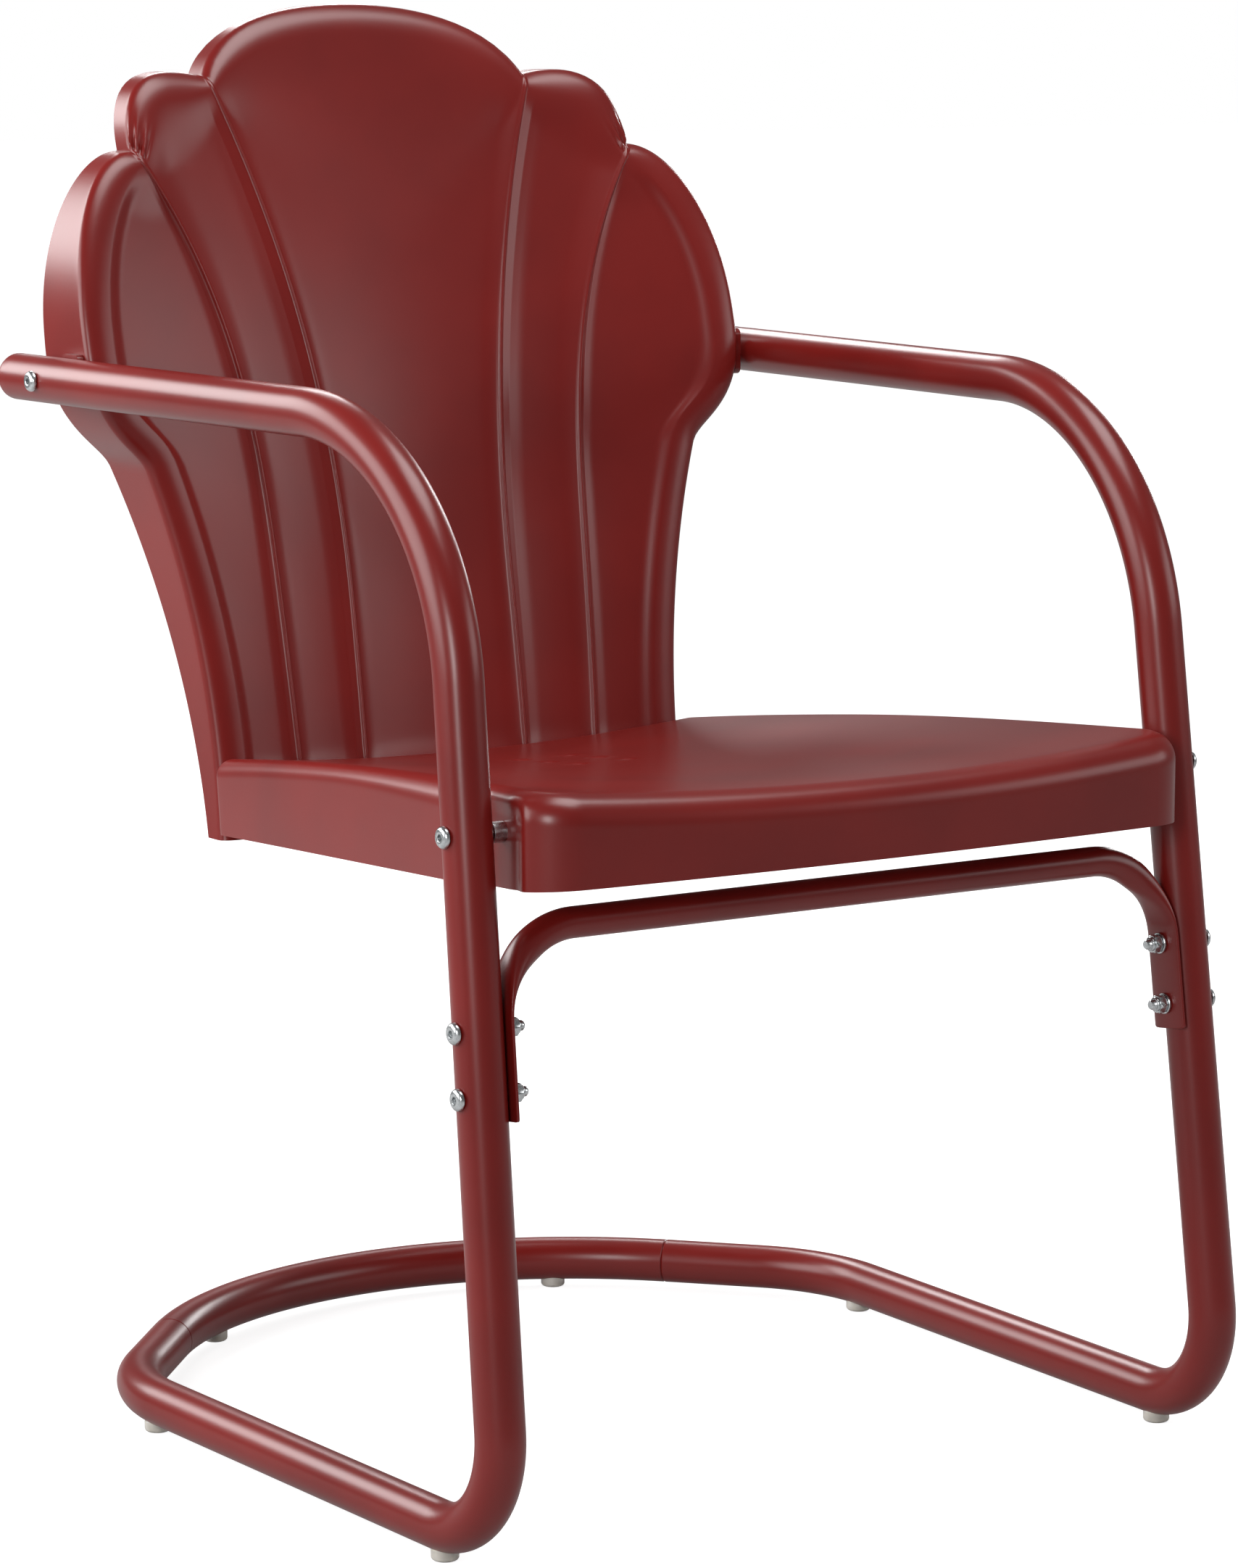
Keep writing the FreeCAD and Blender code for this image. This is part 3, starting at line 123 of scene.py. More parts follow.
def of_two(tree, operation, first, second):
    """One value worked out from two."""
    return add(tree, "ShaderNodeMath", {0: first, 1: second}, operation=operation).outputs[0]


def two_tones(tree, factor, first, second, low=0.35, high=0.65):
    """Ramp from one colour to another over part of a pattern's range."""
    ramp = add(tree, "ShaderNodeValToRGB", {"Fac": factor})
    for element, place, tone in zip(ramp.color_ramp.elements, (low, high), (first, second)):
        element.position = place
        element.color = tone
    return ramp.outputs["Color"]


def finish_of(name, tones, gloss, clouds, skin=None, **others):
    """Material whose colour and roughness drift with clouds of (size, detail); skin adds (strength, height)."""
    made, tree, out = material(name)
    spot = add(tree, "ShaderNodeTexCoord").outputs["Object"]
    cloud = noise(tree, spot, *clouds)
    inputs = {"Base Color": two_tones(tree, cloud, *map(paint, tones)), "Roughness": ranged(tree, cloud, *gloss)}
    if skin:
        size, detail, strength, height = skin
        bump = {"Height": noise(tree, spot, size, detail), "Strength": strength, "Distance": height}
        inputs["Normal"] = add(tree, "ShaderNodeBump", bump).outputs["Normal"]
    inputs.update((title.replace("_", " "), value) for title, value in others.items())
    surface = add(tree, "ShaderNodeBsdfPrincipled", inputs)
    tree.links.new(surface.outputs["BSDF"], out.inputs["Surface"])
    print(name, "made")
    return made


print("white is", paint("#FFFFFF"))

# %% [markdown]
# Powder coat is polyester powder that is sprayed on steel and baked. It melts into one thick film, so it is
# semi-gloss with a soft skin of waves, called orange peel, a couple of millimetres from crest to crest. The film
# is never quite even, so its red and its gloss drift over a hand's breadth.

# %% Red powder coat
PEEL_WAVE = 2.4
CLOUD_SIZE = 110.0
powder_coat = finish_of("red_powder_coat", ("#6F1512", "#7A1814"), (0.28, 0.33), (CLOUD_SIZE, 3.0),
                        (PEEL_WAVE, 1.0, 0.35, 0.00003), IOR=1.5)

# %% [markdown]
# The bolts and nuts are zinc plated steel: a thin bright metal layer, slightly cloudy where the bath left it. Zinc
# is a metal, so its colour is the colour of its reflections. The clouds change the roughness more than the colour,
# and fine turning marks tilt the reflection.

# %% Bright zinc plate
BATH_CLOUD = 4.0
TURNING_MARK = 0.6
zinc = finish_of("zinc_plated_steel", ("#B9BCBD", "#D3D6D8"), (0.18, 0.36), (BATH_CLOUD, 4.0),
                 (TURNING_MARK, 2.0, 0.4, 0.00002), Metallic=1.0)

# %% [markdown]
# The floor glides are moulded from plastic, milky and half clear. Light scatters in it over a few millimetres,
# which the subsurface weight does, and a little of it passes straight through.

# %% Milky moulded plastic
FLOW_MARK = 7.0
milky = finish_of("milky_moulded_plastic", ("#D8D3C9", "#EAE6DE"), (0.25, 0.45), (FLOW_MARK, 3.0), IOR=1.49,
                  Subsurface_Weight=0.35, Subsurface_Radius=(0.004, 0.004, 0.003), Transmission_Weight=0.3)

# %% [markdown]
# A piece is a mesh whose place is in its points, so the object itself stays at the origin. Seams must be closed
# and faces must point outwards, so doubled points are merged before the normals are worked out. Edges sharper than
# a given angle are marked, and everything else is shaded smooth.

# %% Helpers for meshes
WELD = 0.00001


def unit(vector):
    vector = np.asarray(vector, float)
    return vector / np.linalg.norm(vector)


def slope(degrees):
    return tan(radians(degrees))


def eased(share):
    """Share from 0 to 1 that starts and stops gently."""
    share = np.clip(share, 0, 1)
    return share * share * (3 - 2 * share)


def grid_faces(rows, columns, first=0, ring=False):
    """Quads between neighbouring rows of points; a ring also joins its last column to its first."""
    faces = []
    for row in range(rows - 1):
        for column in range(columns if ring else columns - 1):
            right = (column + 1) % columns
            low = first + row * columns
            faces.append((low + column, low + right, low + columns + right, low + columns + column))
    return faces


def placed(name, data):
    """New object in the scene for a mesh, a light or a camera."""
    made = bpy.data.objects.new(name, data)
    bpy.context.collection.objects.link(made)
    return made


def mesh_object(name, points, edges=(), faces=(), origin=ORIGIN):
    data = bpy.data.meshes.new(name)
    data.from_pydata(to_scene(points, origin).tolist(), edges, faces)
    return placed(name, data)


def carry(source, name, kind, field, values):
    """Let each point of a source carry a value for a geometry tree."""
    carried = source.data.attributes.new(name, kind, "POINT")
    carried.data.foreach_set(field, np.asarray(values, np.float32).ravel())


def tell(piece):
    print(piece.name, len(piece.data.polygons), "faces")


def give(made, finish):
    """Make a finish the only one of a piece."""
    made.data.materials.clear()
    made.data.materials.append(finish)
    return made


def finish_piece(made, finish, sharp=35, outward=True):
    """Merge doubles, turn faces outwards, mark sharp edges and give the finish."""
    work = bmesh.new()
    work.from_mesh(made.data)
    bmesh.ops.remove_doubles(work, verts=work.verts, dist=WELD)
    bmesh.ops.dissolve_degenerate(work, edges=work.edges, dist=WELD / 10)
    if outward:
        bmesh.ops.recalc_face_normals(work, faces=work.faces)
    work.to_mesh(made.data)
    work.free()
    made.data.shade_smooth()
    made.data.set_sharp_from_angle(angle=radians(sharp))
    return give(made, finish)


def baked(source, name):
    """Plain mesh object from a source with modifiers, which is then removed."""
    graph = bpy.context.evaluated_depsgraph_get()
    data = bpy.data.meshes.new_from_object(source.evaluated_get(graph), depsgraph=graph)
    data.name = name
    made = placed(name, data)
    bpy.data.objects.remove(source, do_unlink=True)
    return made


print("mesh helpers ready")

# %% [markdown]
# Two things below are made by Geometry Nodes: tubes, and fasteners that repeat. Both trees take a source and a
# finish, and both make their instances real at the end, because an export would drop them.

# %% Helpers for geometry trees
def start_tree(name, *kinds):
    """New tree with named inputs, the identifiers of these inputs, and their sockets inside the tree."""
    tree = bpy.data.node_groups.new(name, "GeometryNodeTree")
    keys = {}
    for title, kind in (("Source", "Geometry"), *kinds, ("Finish", "Material")):
        socket = tree.interface.new_socket(name=title, in_out="INPUT", socket_type="NodeSocket" + kind)
        keys[title] = socket.identifier
    tree.interface.new_socket(name="Result", in_out="OUTPUT", socket_type="NodeSocketGeometry")
    return tree, keys, add(tree, "NodeGroupInput").outputs


def end_tree(tree, shape, finish):
    """Make instances real and give the finish."""
    real = add(tree, "GeometryNodeRealizeInstances", {"Geometry": shape})
    last = add(tree, "GeometryNodeSetMaterial", {"Geometry": real.outputs["Geometry"], "Material": finish})
    add(tree, "NodeGroupOutput", {"Result": last.outputs["Geometry"]})


def from_tree(source, name, tree, keys, values):
    """What a tree makes of a source, as a plain mesh object."""
    maker = source.modifiers.new("maker", "NODES")
    maker.node_group = tree
    for title, value in values.items():
        maker[keys[title]] = value
    return baked(source, name)


print("tree helpers ready")

# %% [markdown]
# The frame is round steel tube, bent cold on a machine. Its centreline is therefore straight runs joined by arcs
# of one radius each: corner points and a bend radius for each corner. A side tube starts at the slip joint at the
# rear, turns along the floor, bends up into the leg, turns over the shoulder and ends in a pressed dome.

# %% Route of a side tube
TUBE = 28.6
LIFT = 4.7
FLOOR = LIFT + TUBE / 2
FLOOR_HALF = 254.9
RUNNER_SPLAY = slope(1.48)
BOW_RADIUS = 257.1
BOW_CENTRE = 586.3 - BOW_RADIUS
JOINT_HALF = 190.7
JOINT_DEPTH = BOW_CENTRE + sqrt(BOW_RADIUS ** 2 - JOINT_HALF ** 2)
LEG_LEAN = 7.2
LEG_SPLAY = 1.05
ARM_HEIGHT = 630.3
ARM_SPLAY = 2.45
ARM_RISE = 0.35
TIP_DEPTH = 552.5
TIP_DOME = 8.0
BEND_RADII = (114.1, 58.8, 159.7)
ROUTE_STEP = 7.0


def leg_at(height, side=1):
    """Centre of a leg at a height."""
    rise = height - FLOOR
    return np.array([side * (FLOOR_HALF - slope(LEG_SPLAY) * rise), slope(LEG_LEAN) * rise, height])


def arm_at(depth, side=1):
    """Centre of an arm at a depth."""
    across, start, height = leg_at(ARM_HEIGHT)
    run = depth - start
    return np.array([side * (across + slope(ARM_SPLAY) * run), depth, height + slope(ARM_RISE) * run])


def rounded_route(corners, radii, step):
    """Points along straight runs whose corners are turned on their radii."""
    route = [corners[0]]

    def run_to(end):
        start = route[-1]
        count = max(1, ceil(np.linalg.norm(end - start) / step))
        route.extend(start + (end - start) * k / count for k in range(1, count + 1))

    for before, corner, after, radius in zip(corners, corners[1:], corners[2:], radii):
        onto, off = unit(corner - before), unit(after - corner)
        turn = acos(onto @ off)
        first = corner - onto * radius * tan(turn / 2)
        inward = unit(off - onto * (onto @ off))
        run_to(first)
        count = ceil(radius * turn / step * 2)
        for angle in turn * np.arange(1, count + 1) / count:
            route.append(first + inward * radius * (1 - cos(angle)) + onto * radius * sin(angle))
    run_to(corners[-1])
    return np.array(route)


def side_route(side):
    joint = np.array([side * JOINT_HALF, JOINT_DEPTH, FLOOR])
    stub = unit([side * (JOINT_DEPTH - BOW_CENTRE), -JOINT_HALF])
    run = (FLOOR_HALF + RUNNER_SPLAY * JOINT_DEPTH - JOINT_HALF) / (abs(stub[0]) - RUNNER_SPLAY * stub[1])
    corner = joint + np.append(stub * run, 0)
    arm_end = arm_at(TIP_DEPTH - TIP_DOME, side)
    corners = [joint, corner, leg_at(FLOOR, side), leg_at(ARM_HEIGHT, side), arm_end]
    return rounded_route(corners, BEND_RADII, ROUTE_STEP)


print("side route has", len(side_route(1)), "points")

# %% [markdown]
# A tube is a circle that follows a route, which Geometry Nodes does with Curve to Mesh. Each point of the route
# carries a share of the full radius, so the same tree also closes the arm's tip in a dome and breaks the edge at
# the slip joint, where two tube ends meet and leave a fine groove.

# %% A tree that sweeps a tube
AROUND = 48
tree, keys, given = start_tree("swept_tube", ("Radius", "Float"))
curve = add(tree, "GeometryNodeMeshToCurve", {"Mesh": given["Source"]})
share = add(tree, "GeometryNodeInputNamedAttribute", {"Name": "share"}, data_type="FLOAT")
ring = add(tree, "GeometryNodeCurvePrimitiveCircle", {"Resolution": AROUND, "Radius": given["Radius"]})
tube = add(tree, "GeometryNodeCurveToMesh", {
    "Curve": curve.outputs["Curve"], "Profile Curve": ring.outputs["Curve"],
    "Scale": share.outputs["Attribute"], "Fill Caps": True})
end_tree(tree, tube.outputs["Mesh"], given["Finish"])
swept_tube = tree, keys


def sweep_piece(name, route, shares):
    """Painted tube along a route of the drawing."""
    source = mesh_object(name + "_route", route, [(k, k + 1) for k in range(len(route) - 1)])
    carry(source, "share", "FLOAT", "value", shares)
    values = {"Radius": TUBE / 2000, "Finish": powder_coat}
    return finish_piece(from_tree(source, name, *swept_tube, values), powder_coat)


print("tree", tree.name, "takes", list(keys))

# %% [markdown]
# Each side of the chair is one tube. Where it flexes, the plain solids are two pieces with a hinge between them, so
# the tube stands for both.

# %% Side tubes
JOINT_CHAMFER = 0.8
DOME_STEPS = 10
DOME_END = 0.02


def with_dome(route, shares):
    """Route carried on through the dome that closes the arm."""
    along = unit(route[-1] - route[-2])
    angles = pi / 2 * np.arange(1, DOME_STEPS + 1) / DOME_STEPS
    dome = route[-1] + along * TIP_DOME * np.sin(angles)[:, None]
    return np.vstack([route, dome]), np.append(shares, np.maximum(np.cos(angles), DOME_END))


def with_chamfer(route, shares):
    """Route whose first point is a tube end with a broken edge."""
    onward = unit(route[1] - route[0])
    route = np.vstack([route[:1], route[:1] + onward * JOINT_CHAMFER, route[1:]])
    return route, np.concatenate([[1 - JOINT_CHAMFER / (TUBE / 2), 1.0], shares[1:]])


side_tubes = {}
for label, side in (("left", 1), ("right", -1)):
    route = side_route(side)
    route, shares = with_chamfer(*with_dome(route, np.ones(len(route))))
    tube = side_tubes[label] = sweep_piece(label + "_side_tube", route, shares)
    tell(tube)

# %% [markdown]
# The rear bow is a third tube, an arc that closes the base. Its two ends are swaged down and slide into the side
# tubes, so from outside only a fine groove shows at each joint.

# %% Rear bow
BOW_POINTS = 121
half = asin(JOINT_HALF / BOW_RADIUS)
route = np.array([[BOW_RADIUS * sin(angle), BOW_CENTRE + BOW_RADIUS * cos(angle), FLOOR]
                  for angle in np.linspace(-half, half, BOW_POINTS)])
route, shares = with_chamfer(route, np.ones(BOW_POINTS))
rear_bow = sweep_piece("rear_bow", *with_chamfer(route[::-1], shares[::-1]))
tell(rear_bow)

# %% [markdown]
# The cross brace is a thinner tube, whose ends are bent down and pressed flat so that they can be bolted to the
# legs. It is built from rings of points: each ring is a superellipse, which is a circle that can be squared off,
# and each knows how far it has been pressed.

# %% Cross brace
BRACE = 17.8
BRACE_HEIGHT = 357.3
BRACE_BEND = 50.0
PLATE_WIDTH = 27.0
PLATE_THICK = 3.0
PLATE_FOOT = 253.5
PLATE_CORNER = 1.6
PLATE_HUG = 1.2
PRESS_FROM, PRESS_OVER = 0.4, 0.52
FIT = 0.2


def leg_face(height, way):
    """Distance from the middle to a leg's inner face (way -1) or outer face (way 1)."""
    return leg_at(height)[0] + way * TUBE / 2 / cos(radians(LEG_SPLAY))


def in_leg_plane(across, height, aside):
    """Points in the plane of the two legs, moved square to it by aside."""
    lean = radians(LEG_LEAN)
    depth = slope(LEG_LEAN) * (height - FLOOR)
    return np.stack([across, depth + aside * cos(lean), height - aside * sin(lean)], -1)


def brace_ring(x, z, angle, pressed, side, hug=PLATE_HUG):
    """Section of the brace, turned down by an angle, pressed by a share and curled round the leg by a hug."""
    pressed = float(eased(pressed))
    wide = BRACE / 2 + (PLATE_WIDTH - BRACE) / 2 * pressed
    thin = BRACE / 2 + (PLATE_THICK - BRACE) / 2 * pressed
    power = 1 - 0.5 * pressed
    way = np.linspace(0, 2 * pi, AROUND, endpoint=False)
    flat, deep = (np.copysign(np.abs(part) ** power, part) for part in (np.cos(way), np.sin(way)))
    deep = deep * thin + hug * pressed * flat ** 2
    return in_leg_plane(side * (x + deep * sin(angle)), z + deep * cos(angle), flat * wide)


def brace_half(side):
    """Rings from the middle of the brace to the foot of one flat end."""
    turn = radians(90 - LEG_SPLAY)
    start = leg_face(BRACE_HEIGHT, -1) - FIT - PLATE_THICK / 2 - BRACE_BEND * tan(turn / 2)
    rings = [brace_ring(x, BRACE_HEIGHT, 0, 0, side) for x in np.linspace(0, start, 13)]
    for angle in np.linspace(0, turn, 29)[1:]:
        x = start + BRACE_BEND * sin(angle)
        z = BRACE_HEIGHT - BRACE_BEND * (1 - cos(angle))
        rings.append(brace_ring(x, z, angle, (angle / turn - PRESS_FROM) / PRESS_OVER, side))
    foot_x = leg_face(PLATE_FOOT, -1) - FIT - PLATE_THICK / 2
    for share in np.append(np.linspace(0, 0.97, 18)[1:], np.linspace(0.97, 1, 6)[1:]):
        here_x, here_z = x + (foot_x - x) * share, z + (PLATE_FOOT - z) * share
        ring = brace_ring(here_x, here_z, turn, 1, side)
        near_end = (PLATE_FOOT + PLATE_CORNER - here_z) / PLATE_CORNER
        if near_end > 0:
            narrow = 1 - (1 - sqrt(1 - near_end ** 2)) * PLATE_CORNER / (PLATE_WIDTH / 2)
            middle = ring.mean(0)[1:]
            ring[:, 1:] = middle + (ring[:, 1:] - middle) * narrow
        rings.append(ring)
    return rings


rings = brace_half(-1)[::-1] + brace_half(1)[1:]
last = (len(rings) - 1) * AROUND
caps = [tuple(range(AROUND)), tuple(range(last, last + AROUND))]
brace = mesh_object("cross_brace", np.vstack(rings), faces=grid_faces(len(rings), AROUND, ring=True) + caps)
finish_piece(brace, powder_coat)
tell(brace)

# %% [markdown]
# The back is one sheet, stamped into five petals. Each petal is a shallow hollow between raised ribs, and the edge
# is rolled over into a deep flange. The sheet leans, curves and wraps, so its depth is a formula of the place
# across and the height, and every petal, rim and flange below asks that formula.

# %% Curve of the back's face
SHEET = 1.2
SHEET_SHARP = 50
FOOT = 346.0
CROWN = 861.0
FACE_LEVEL = 390.0
FACE_DEPTH = 474.2
FACE_LEAN = slope(7.97)
LEAN_RADIUS = 2560.0
WRAP_RADIUS = 862.0
INNER_NOTCH = np.array([120.0, 816.0])
OUTER_NOTCH = np.array([185.0, 770.0])
INNER_RIB = (60.0, 0.0, 478.0, 2.28, INNER_NOTCH)
OUTER_RIB = (111.0, slope(2.3), 506.0, 2.9, OUTER_NOTCH)
WING_HEIGHT = 660.0
WING_GAP = 4.7
ARM_BOLT = arm_at(503.0)
ARM_HALF = TUBE / 2 / cos(radians(ARM_SPLAY))
WING_HALF = ARM_BOLT[0] - ARM_HALF - WING_GAP


def face_depth(across, height):
    rise = height - FACE_LEVEL
    return FACE_DEPTH + FACE_LEAN * rise + rise ** 2 / (2 * LEAN_RADIUS) - across ** 2 / (2 * WRAP_RADIUS)


def face_normal(across, height):
    """Direction square to the back's face, towards the rear."""
    return unit([across / WRAP_RADIUS, 1, -(FACE_LEAN + (height - FACE_LEVEL) / LEAN_RADIUS)])


def rib_at(rib, height):
    """How far a rib lies from the middle: straight up from its foot, then bent out to its notch."""
    foot, splay, start, power, notch = rib
    straight, end = (foot + splay * (level - FACE_LEVEL) for level in (height, notch[1]))
    return straight + (notch[0] - end) * np.clip((height - start) / (notch[1] - start), 0, None) ** power


print("the wings reach", round(WING_HALF, 1), "mm from the middle")

# %% [markdown]
# The outline is drawn flat, as the toolmaker would: an arc for the waist, a sweep out to the wing, a quarter of an
# ellipse up to the outer notch, and a bulging curve for each upper petal. A second line runs inside the outline by
# the width of the rim, and meets the ribs in a mitre below each notch.

# %% Outline of the back
RIM = 19.0
RIM_DROP = 10.0
MITRE = 0.5
FINE = 2001
EVEN = 961
WAIST_HALF, WAIST_LEVEL, WAIST_TOP, WAIST_RADIUS = 173.5, 380.0, 575.0, 625.0
WING_END, WAIST_PULL, WING_PULL = 10.0, 15.0, 52.0
LOBE_BULGE = 30.0
CROWN_PULL = 55.0
NOTCH_PULL = np.array([-17.0, 32.3])
MITRE_REACH = 0.3
MIRROR = np.array([-1, 1])


def bezier(*points):
    t = np.linspace(0, 1, FINE)[:, None]
    a, b, c, d = (np.asarray(p, float) for p in points)
    return (1 - t) ** 3 * a + 3 * (1 - t) ** 2 * t * b + 3 * (1 - t) * t ** 2 * c + t ** 3 * d


def read_line(places, marks, line):
    """Points of a line at places along it, where marks gives the place of each of its own points."""
    return np.stack([np.interp(places, marks, line[:, k]) for k in (0, 1)], -1)


def by_length(line):
    """The same line with its points at equal steps of length."""
    steps = np.concatenate([[0], np.cumsum(np.linalg.norm(np.diff(line, axis=0), axis=1))])
    return read_line(np.linspace(0, steps[-1], EVEN), steps, line)


def inset(line, width, starting, ending):
    """Line inside an edge at a width, led to a mitre point at either end."""
    along = np.gradient(line, axis=0)
    along /= np.linalg.norm(along, axis=1)[:, None]
    moved = line + np.stack([along[:, 1], -along[:, 0]], -1) * width
    share = np.linspace(0, 1, len(line))
    for target, near, end in ((starting, share, 0), (ending, 1 - share, -1)):
        moved = moved + (target - moved[end]) * np.clip(1 - near / MITRE_REACH, 0, None)[:, None] ** 2
    return moved


def rib_line(rib):
    """Line of a rib from its foot to its mitre below the notch."""
    heights = np.linspace(FOOT, rib[-1][1] - MITRE * RIM, EVEN)
    return np.stack([rib_at(rib, heights), heights], -1)


rise = np.linspace(FOOT, WAIST_TOP, FINE) - WAIST_LEVEL
reach = np.sqrt(WAIST_RADIUS ** 2 - rise ** 2)
waist = np.stack([WAIST_HALF + WAIST_RADIUS - reach, rise + WAIST_LEVEL], -1)
onward = unit([rise[-1], reach[-1]])
end = np.array([WING_HALF, WING_HEIGHT - WING_END])
sweep = bezier(waist[-1], waist[-1] + onward * WAIST_PULL, end - (0, WING_PULL), end)
angle = np.linspace(0, pi / 2, FINE)
middle = np.array([OUTER_NOTCH[0], WING_HEIGHT])
size = np.array([WING_HALF - OUTER_NOTCH[0], OUTER_NOTCH[1] - WING_HEIGHT])
wing_edge = by_length(np.vstack([waist, sweep[1:], middle + size * np.stack([np.cos(angle), np.sin(angle)], -1)]))
chord = OUTER_NOTCH - INNER_NOTCH
bulge = np.array([-unit(chord)[1], unit(chord)[0]]) * LOBE_BULGE
lobe_edge = by_length(bezier(INNER_NOTCH, INNER_NOTCH + chord * 0.35 + bulge,
                             OUTER_NOTCH - chord * 0.3 + bulge * 1.25, OUTER_NOTCH))
half = bezier((0, CROWN), (CROWN_PULL, CROWN), INNER_NOTCH + NOTCH_PULL, INNER_NOTCH)
crown_edge = by_length(np.vstack([half[::-1] * MIRROR, half[1:]]))
inner_line, outer_line = (rib_line(rib) for rib in (INNER_RIB, OUTER_RIB))
wing_inner = inset(wing_edge, -RIM, wing_edge[0] - (RIM, 0), outer_line[-1])
lobe_inner = inset(lobe_edge, RIM, inner_line[-1], outer_line[-1])
crown_inner = inset(crown_edge, RIM, inner_line[-1] * MIRROR, inner_line[-1])
print("outline runs", round(float(np.abs(np.diff(wing_edge, axis=0)).sum())), "mm up one wing")

# %% [markdown]
# A petal is a grid of points between two ribs, its foot and its tip. Its face lies behind the ribs and is slightly
# hollow. Towards the middle of the back the sheet rises to each rib in a hollow slope; on the outer side it drops
# steeply to a crease and then runs out shallow. A fine bead stands on the crest, where it catches the light, so
# columns are crowded beside the ribs. The rim rolls over into the flange, in small folds where the lobe, which is
# the second petal, meets the wing.

# %% Petals, ribs and rims
RECESS = 3.0
CREST = 0.7
RISE = 13.0
FALL = ((CREST, 5.0, 11.0), (1.0, 0.32, 0.0))
RIM_SLOPE = 11.0
BOWL = 5.0
BEAD = 1.2
BEAD_FLAT = 0.5
BEAD_SHOULDER = 1.1
PLAIN_FOOT, BEAD_FADE, HOLLOW_FADE = 366.0, 26.0, 30.0
RIM_ROWS = 25
FLANGE_ROWS = 10
FLANGE, FLANGE_FOOT, FLANGE_DEEP, FLANGE_CROWN = 25.0, 22.0, 62.0, 17.0
DEEP_LEVEL = 612.0
GATHER, GATHER_LENGTH, HALF_FOLDS = 2.0, 13.0, 7
NEAR_RIB = np.array([0, 0.35, 0.7, 1.05, 1.5, 2.2, 3.2, 4.2, 4.7, 5.0, 5.4, 6.4, 8.4, 11.0, 13.7])
ups = np.concatenate([np.linspace(0, 0.93, 116)[:-1], np.linspace(0.93, 1, 32)])


def at(line, share):
    """Point of an evenly drawn line at a share of its length."""
    return read_line(share, np.linspace(0, 1, len(line)), line)


def bead_height(across, height):
    """How far the fine beads on the crests of the ribs stand out; they run up to the notches."""
    tall = 0
    for rib in (INNER_RIB, OUTER_RIB):
        gain = (rib_at(rib, height + 1) - rib_at(rib, height - 1)) / 2
        away = np.abs(np.abs(across) - rib_at(rib, height)) / np.sqrt(1 + gain ** 2)
        above = np.clip(height - rib[-1][1], 0, None)
        tall = np.maximum(tall, 1 - eased((np.hypot(away, above) - BEAD_FLAT) / BEAD_SHOULDER))
    return BEAD * tall * eased((height - PLAIN_FOOT) / BEAD_FADE)


def columns(width, middle):
    """Places across a petal, crowded beside its two ribs."""
    near = NEAR_RIB / np.maximum(width, 60.0)
    between = near[:, -1:] + (1 - 2 * near[:, -1:]) * np.linspace(0, 1, middle)[1:-1]
    return np.hstack([near, between, 1 - near[:, ::-1]])


def rising(away):
    """Share of a rib's height on its side towards the middle: a hollow slope up to the crest."""
    return np.clip(1 - (away - CREST) / RISE, 0, 1) ** 2


def falling(away):
    """Share of a rib's height on its outer side: a steep slope, a crease and a shallow slope."""
    return np.interp(away, *FALL)


def rolling(away):
    """Share of the rim's height beside the rim."""
    return 1 - eased(away / RIM_SLOPE)


def petal_grid(left, right, foot_end, tip, middle, slopes, fade, crown_fade=0.0):
    """Points and places across of one petal; its recess fades out over a length below its tip."""
    lefts, rights = at(left, ups), at(right, ups)
    width = np.linalg.norm(rights - lefts, axis=1)[:, None]
    overs = columns(width, middle)
    up, over = ups[:, None, None], overs[:, :, None]
    foot = np.linspace(left[0], foot_end, EVEN)
    sides = lefts[:, None] * (1 - over) + rights[:, None] * over
    ends = at(foot, overs) * (1 - up) + at(tip, overs) * up
    low, high = (lefts[row] * (1 - over) + rights[row] * over for row in (0, -1))
    flat = sides + ends - low * (1 - up) - high * up
    across, height = flat[..., 0], flat[..., 1]
    bulge = 4 * overs * (1 - overs)
    bowl = BOWL * width / (2 * INNER_NOTCH[0]) * bulge * eased(1.2 * (1 - ups[:, None]))
    to_tip = np.linalg.norm(flat - at(tip, overs), axis=-1) / (fade + crown_fade * bulge)
    inside = (1 - slopes[0](overs * width)) * (1 - slopes[1]((1 - overs) * width)) * eased(to_tip)
    hollow = (RECESS * inside + bowl) * eased((height - PLAIN_FOOT) / HOLLOW_FADE)
    depth = face_depth(across, height) + hollow - bead_height(across, height)
    return np.stack([across, depth, height], -1), overs[-1]


def flange_depth(stretch, height):
    """Depth of the flange behind the rim at a height."""
    if stretch == "wing":
        low = (height - FOOT) / (DEEP_LEVEL - FOOT)
        high = np.clip((height - DEEP_LEVEL) / (OUTER_NOTCH[1] - DEEP_LEVEL), 0, None)
        climb = FLANGE_FOOT + (FLANGE_DEEP - FLANGE_FOOT) * low
        return np.where(low < 1, climb, FLANGE_DEEP - (FLANGE_DEEP - FLANGE) * high ** 2.2)
    over = (height - INNER_NOTCH[1]) / (CROWN - INNER_NOTCH[1]) if stretch == "crown" else np.zeros_like(height)
    return FLANGE - (FLANGE - FLANGE_CROWN) * eased(over)


def gathers(along, turn):
    """Small folds where the rim of a lobe is gathered at its outer notch."""
    fan = np.sin(turn * HALF_FOLDS * pi) * sin(turn * pi) ** 0.5
    return GATHER * fan * eased((along - 1.0) / 4.0) * np.exp(-(along / GATHER_LENGTH) ** 2)


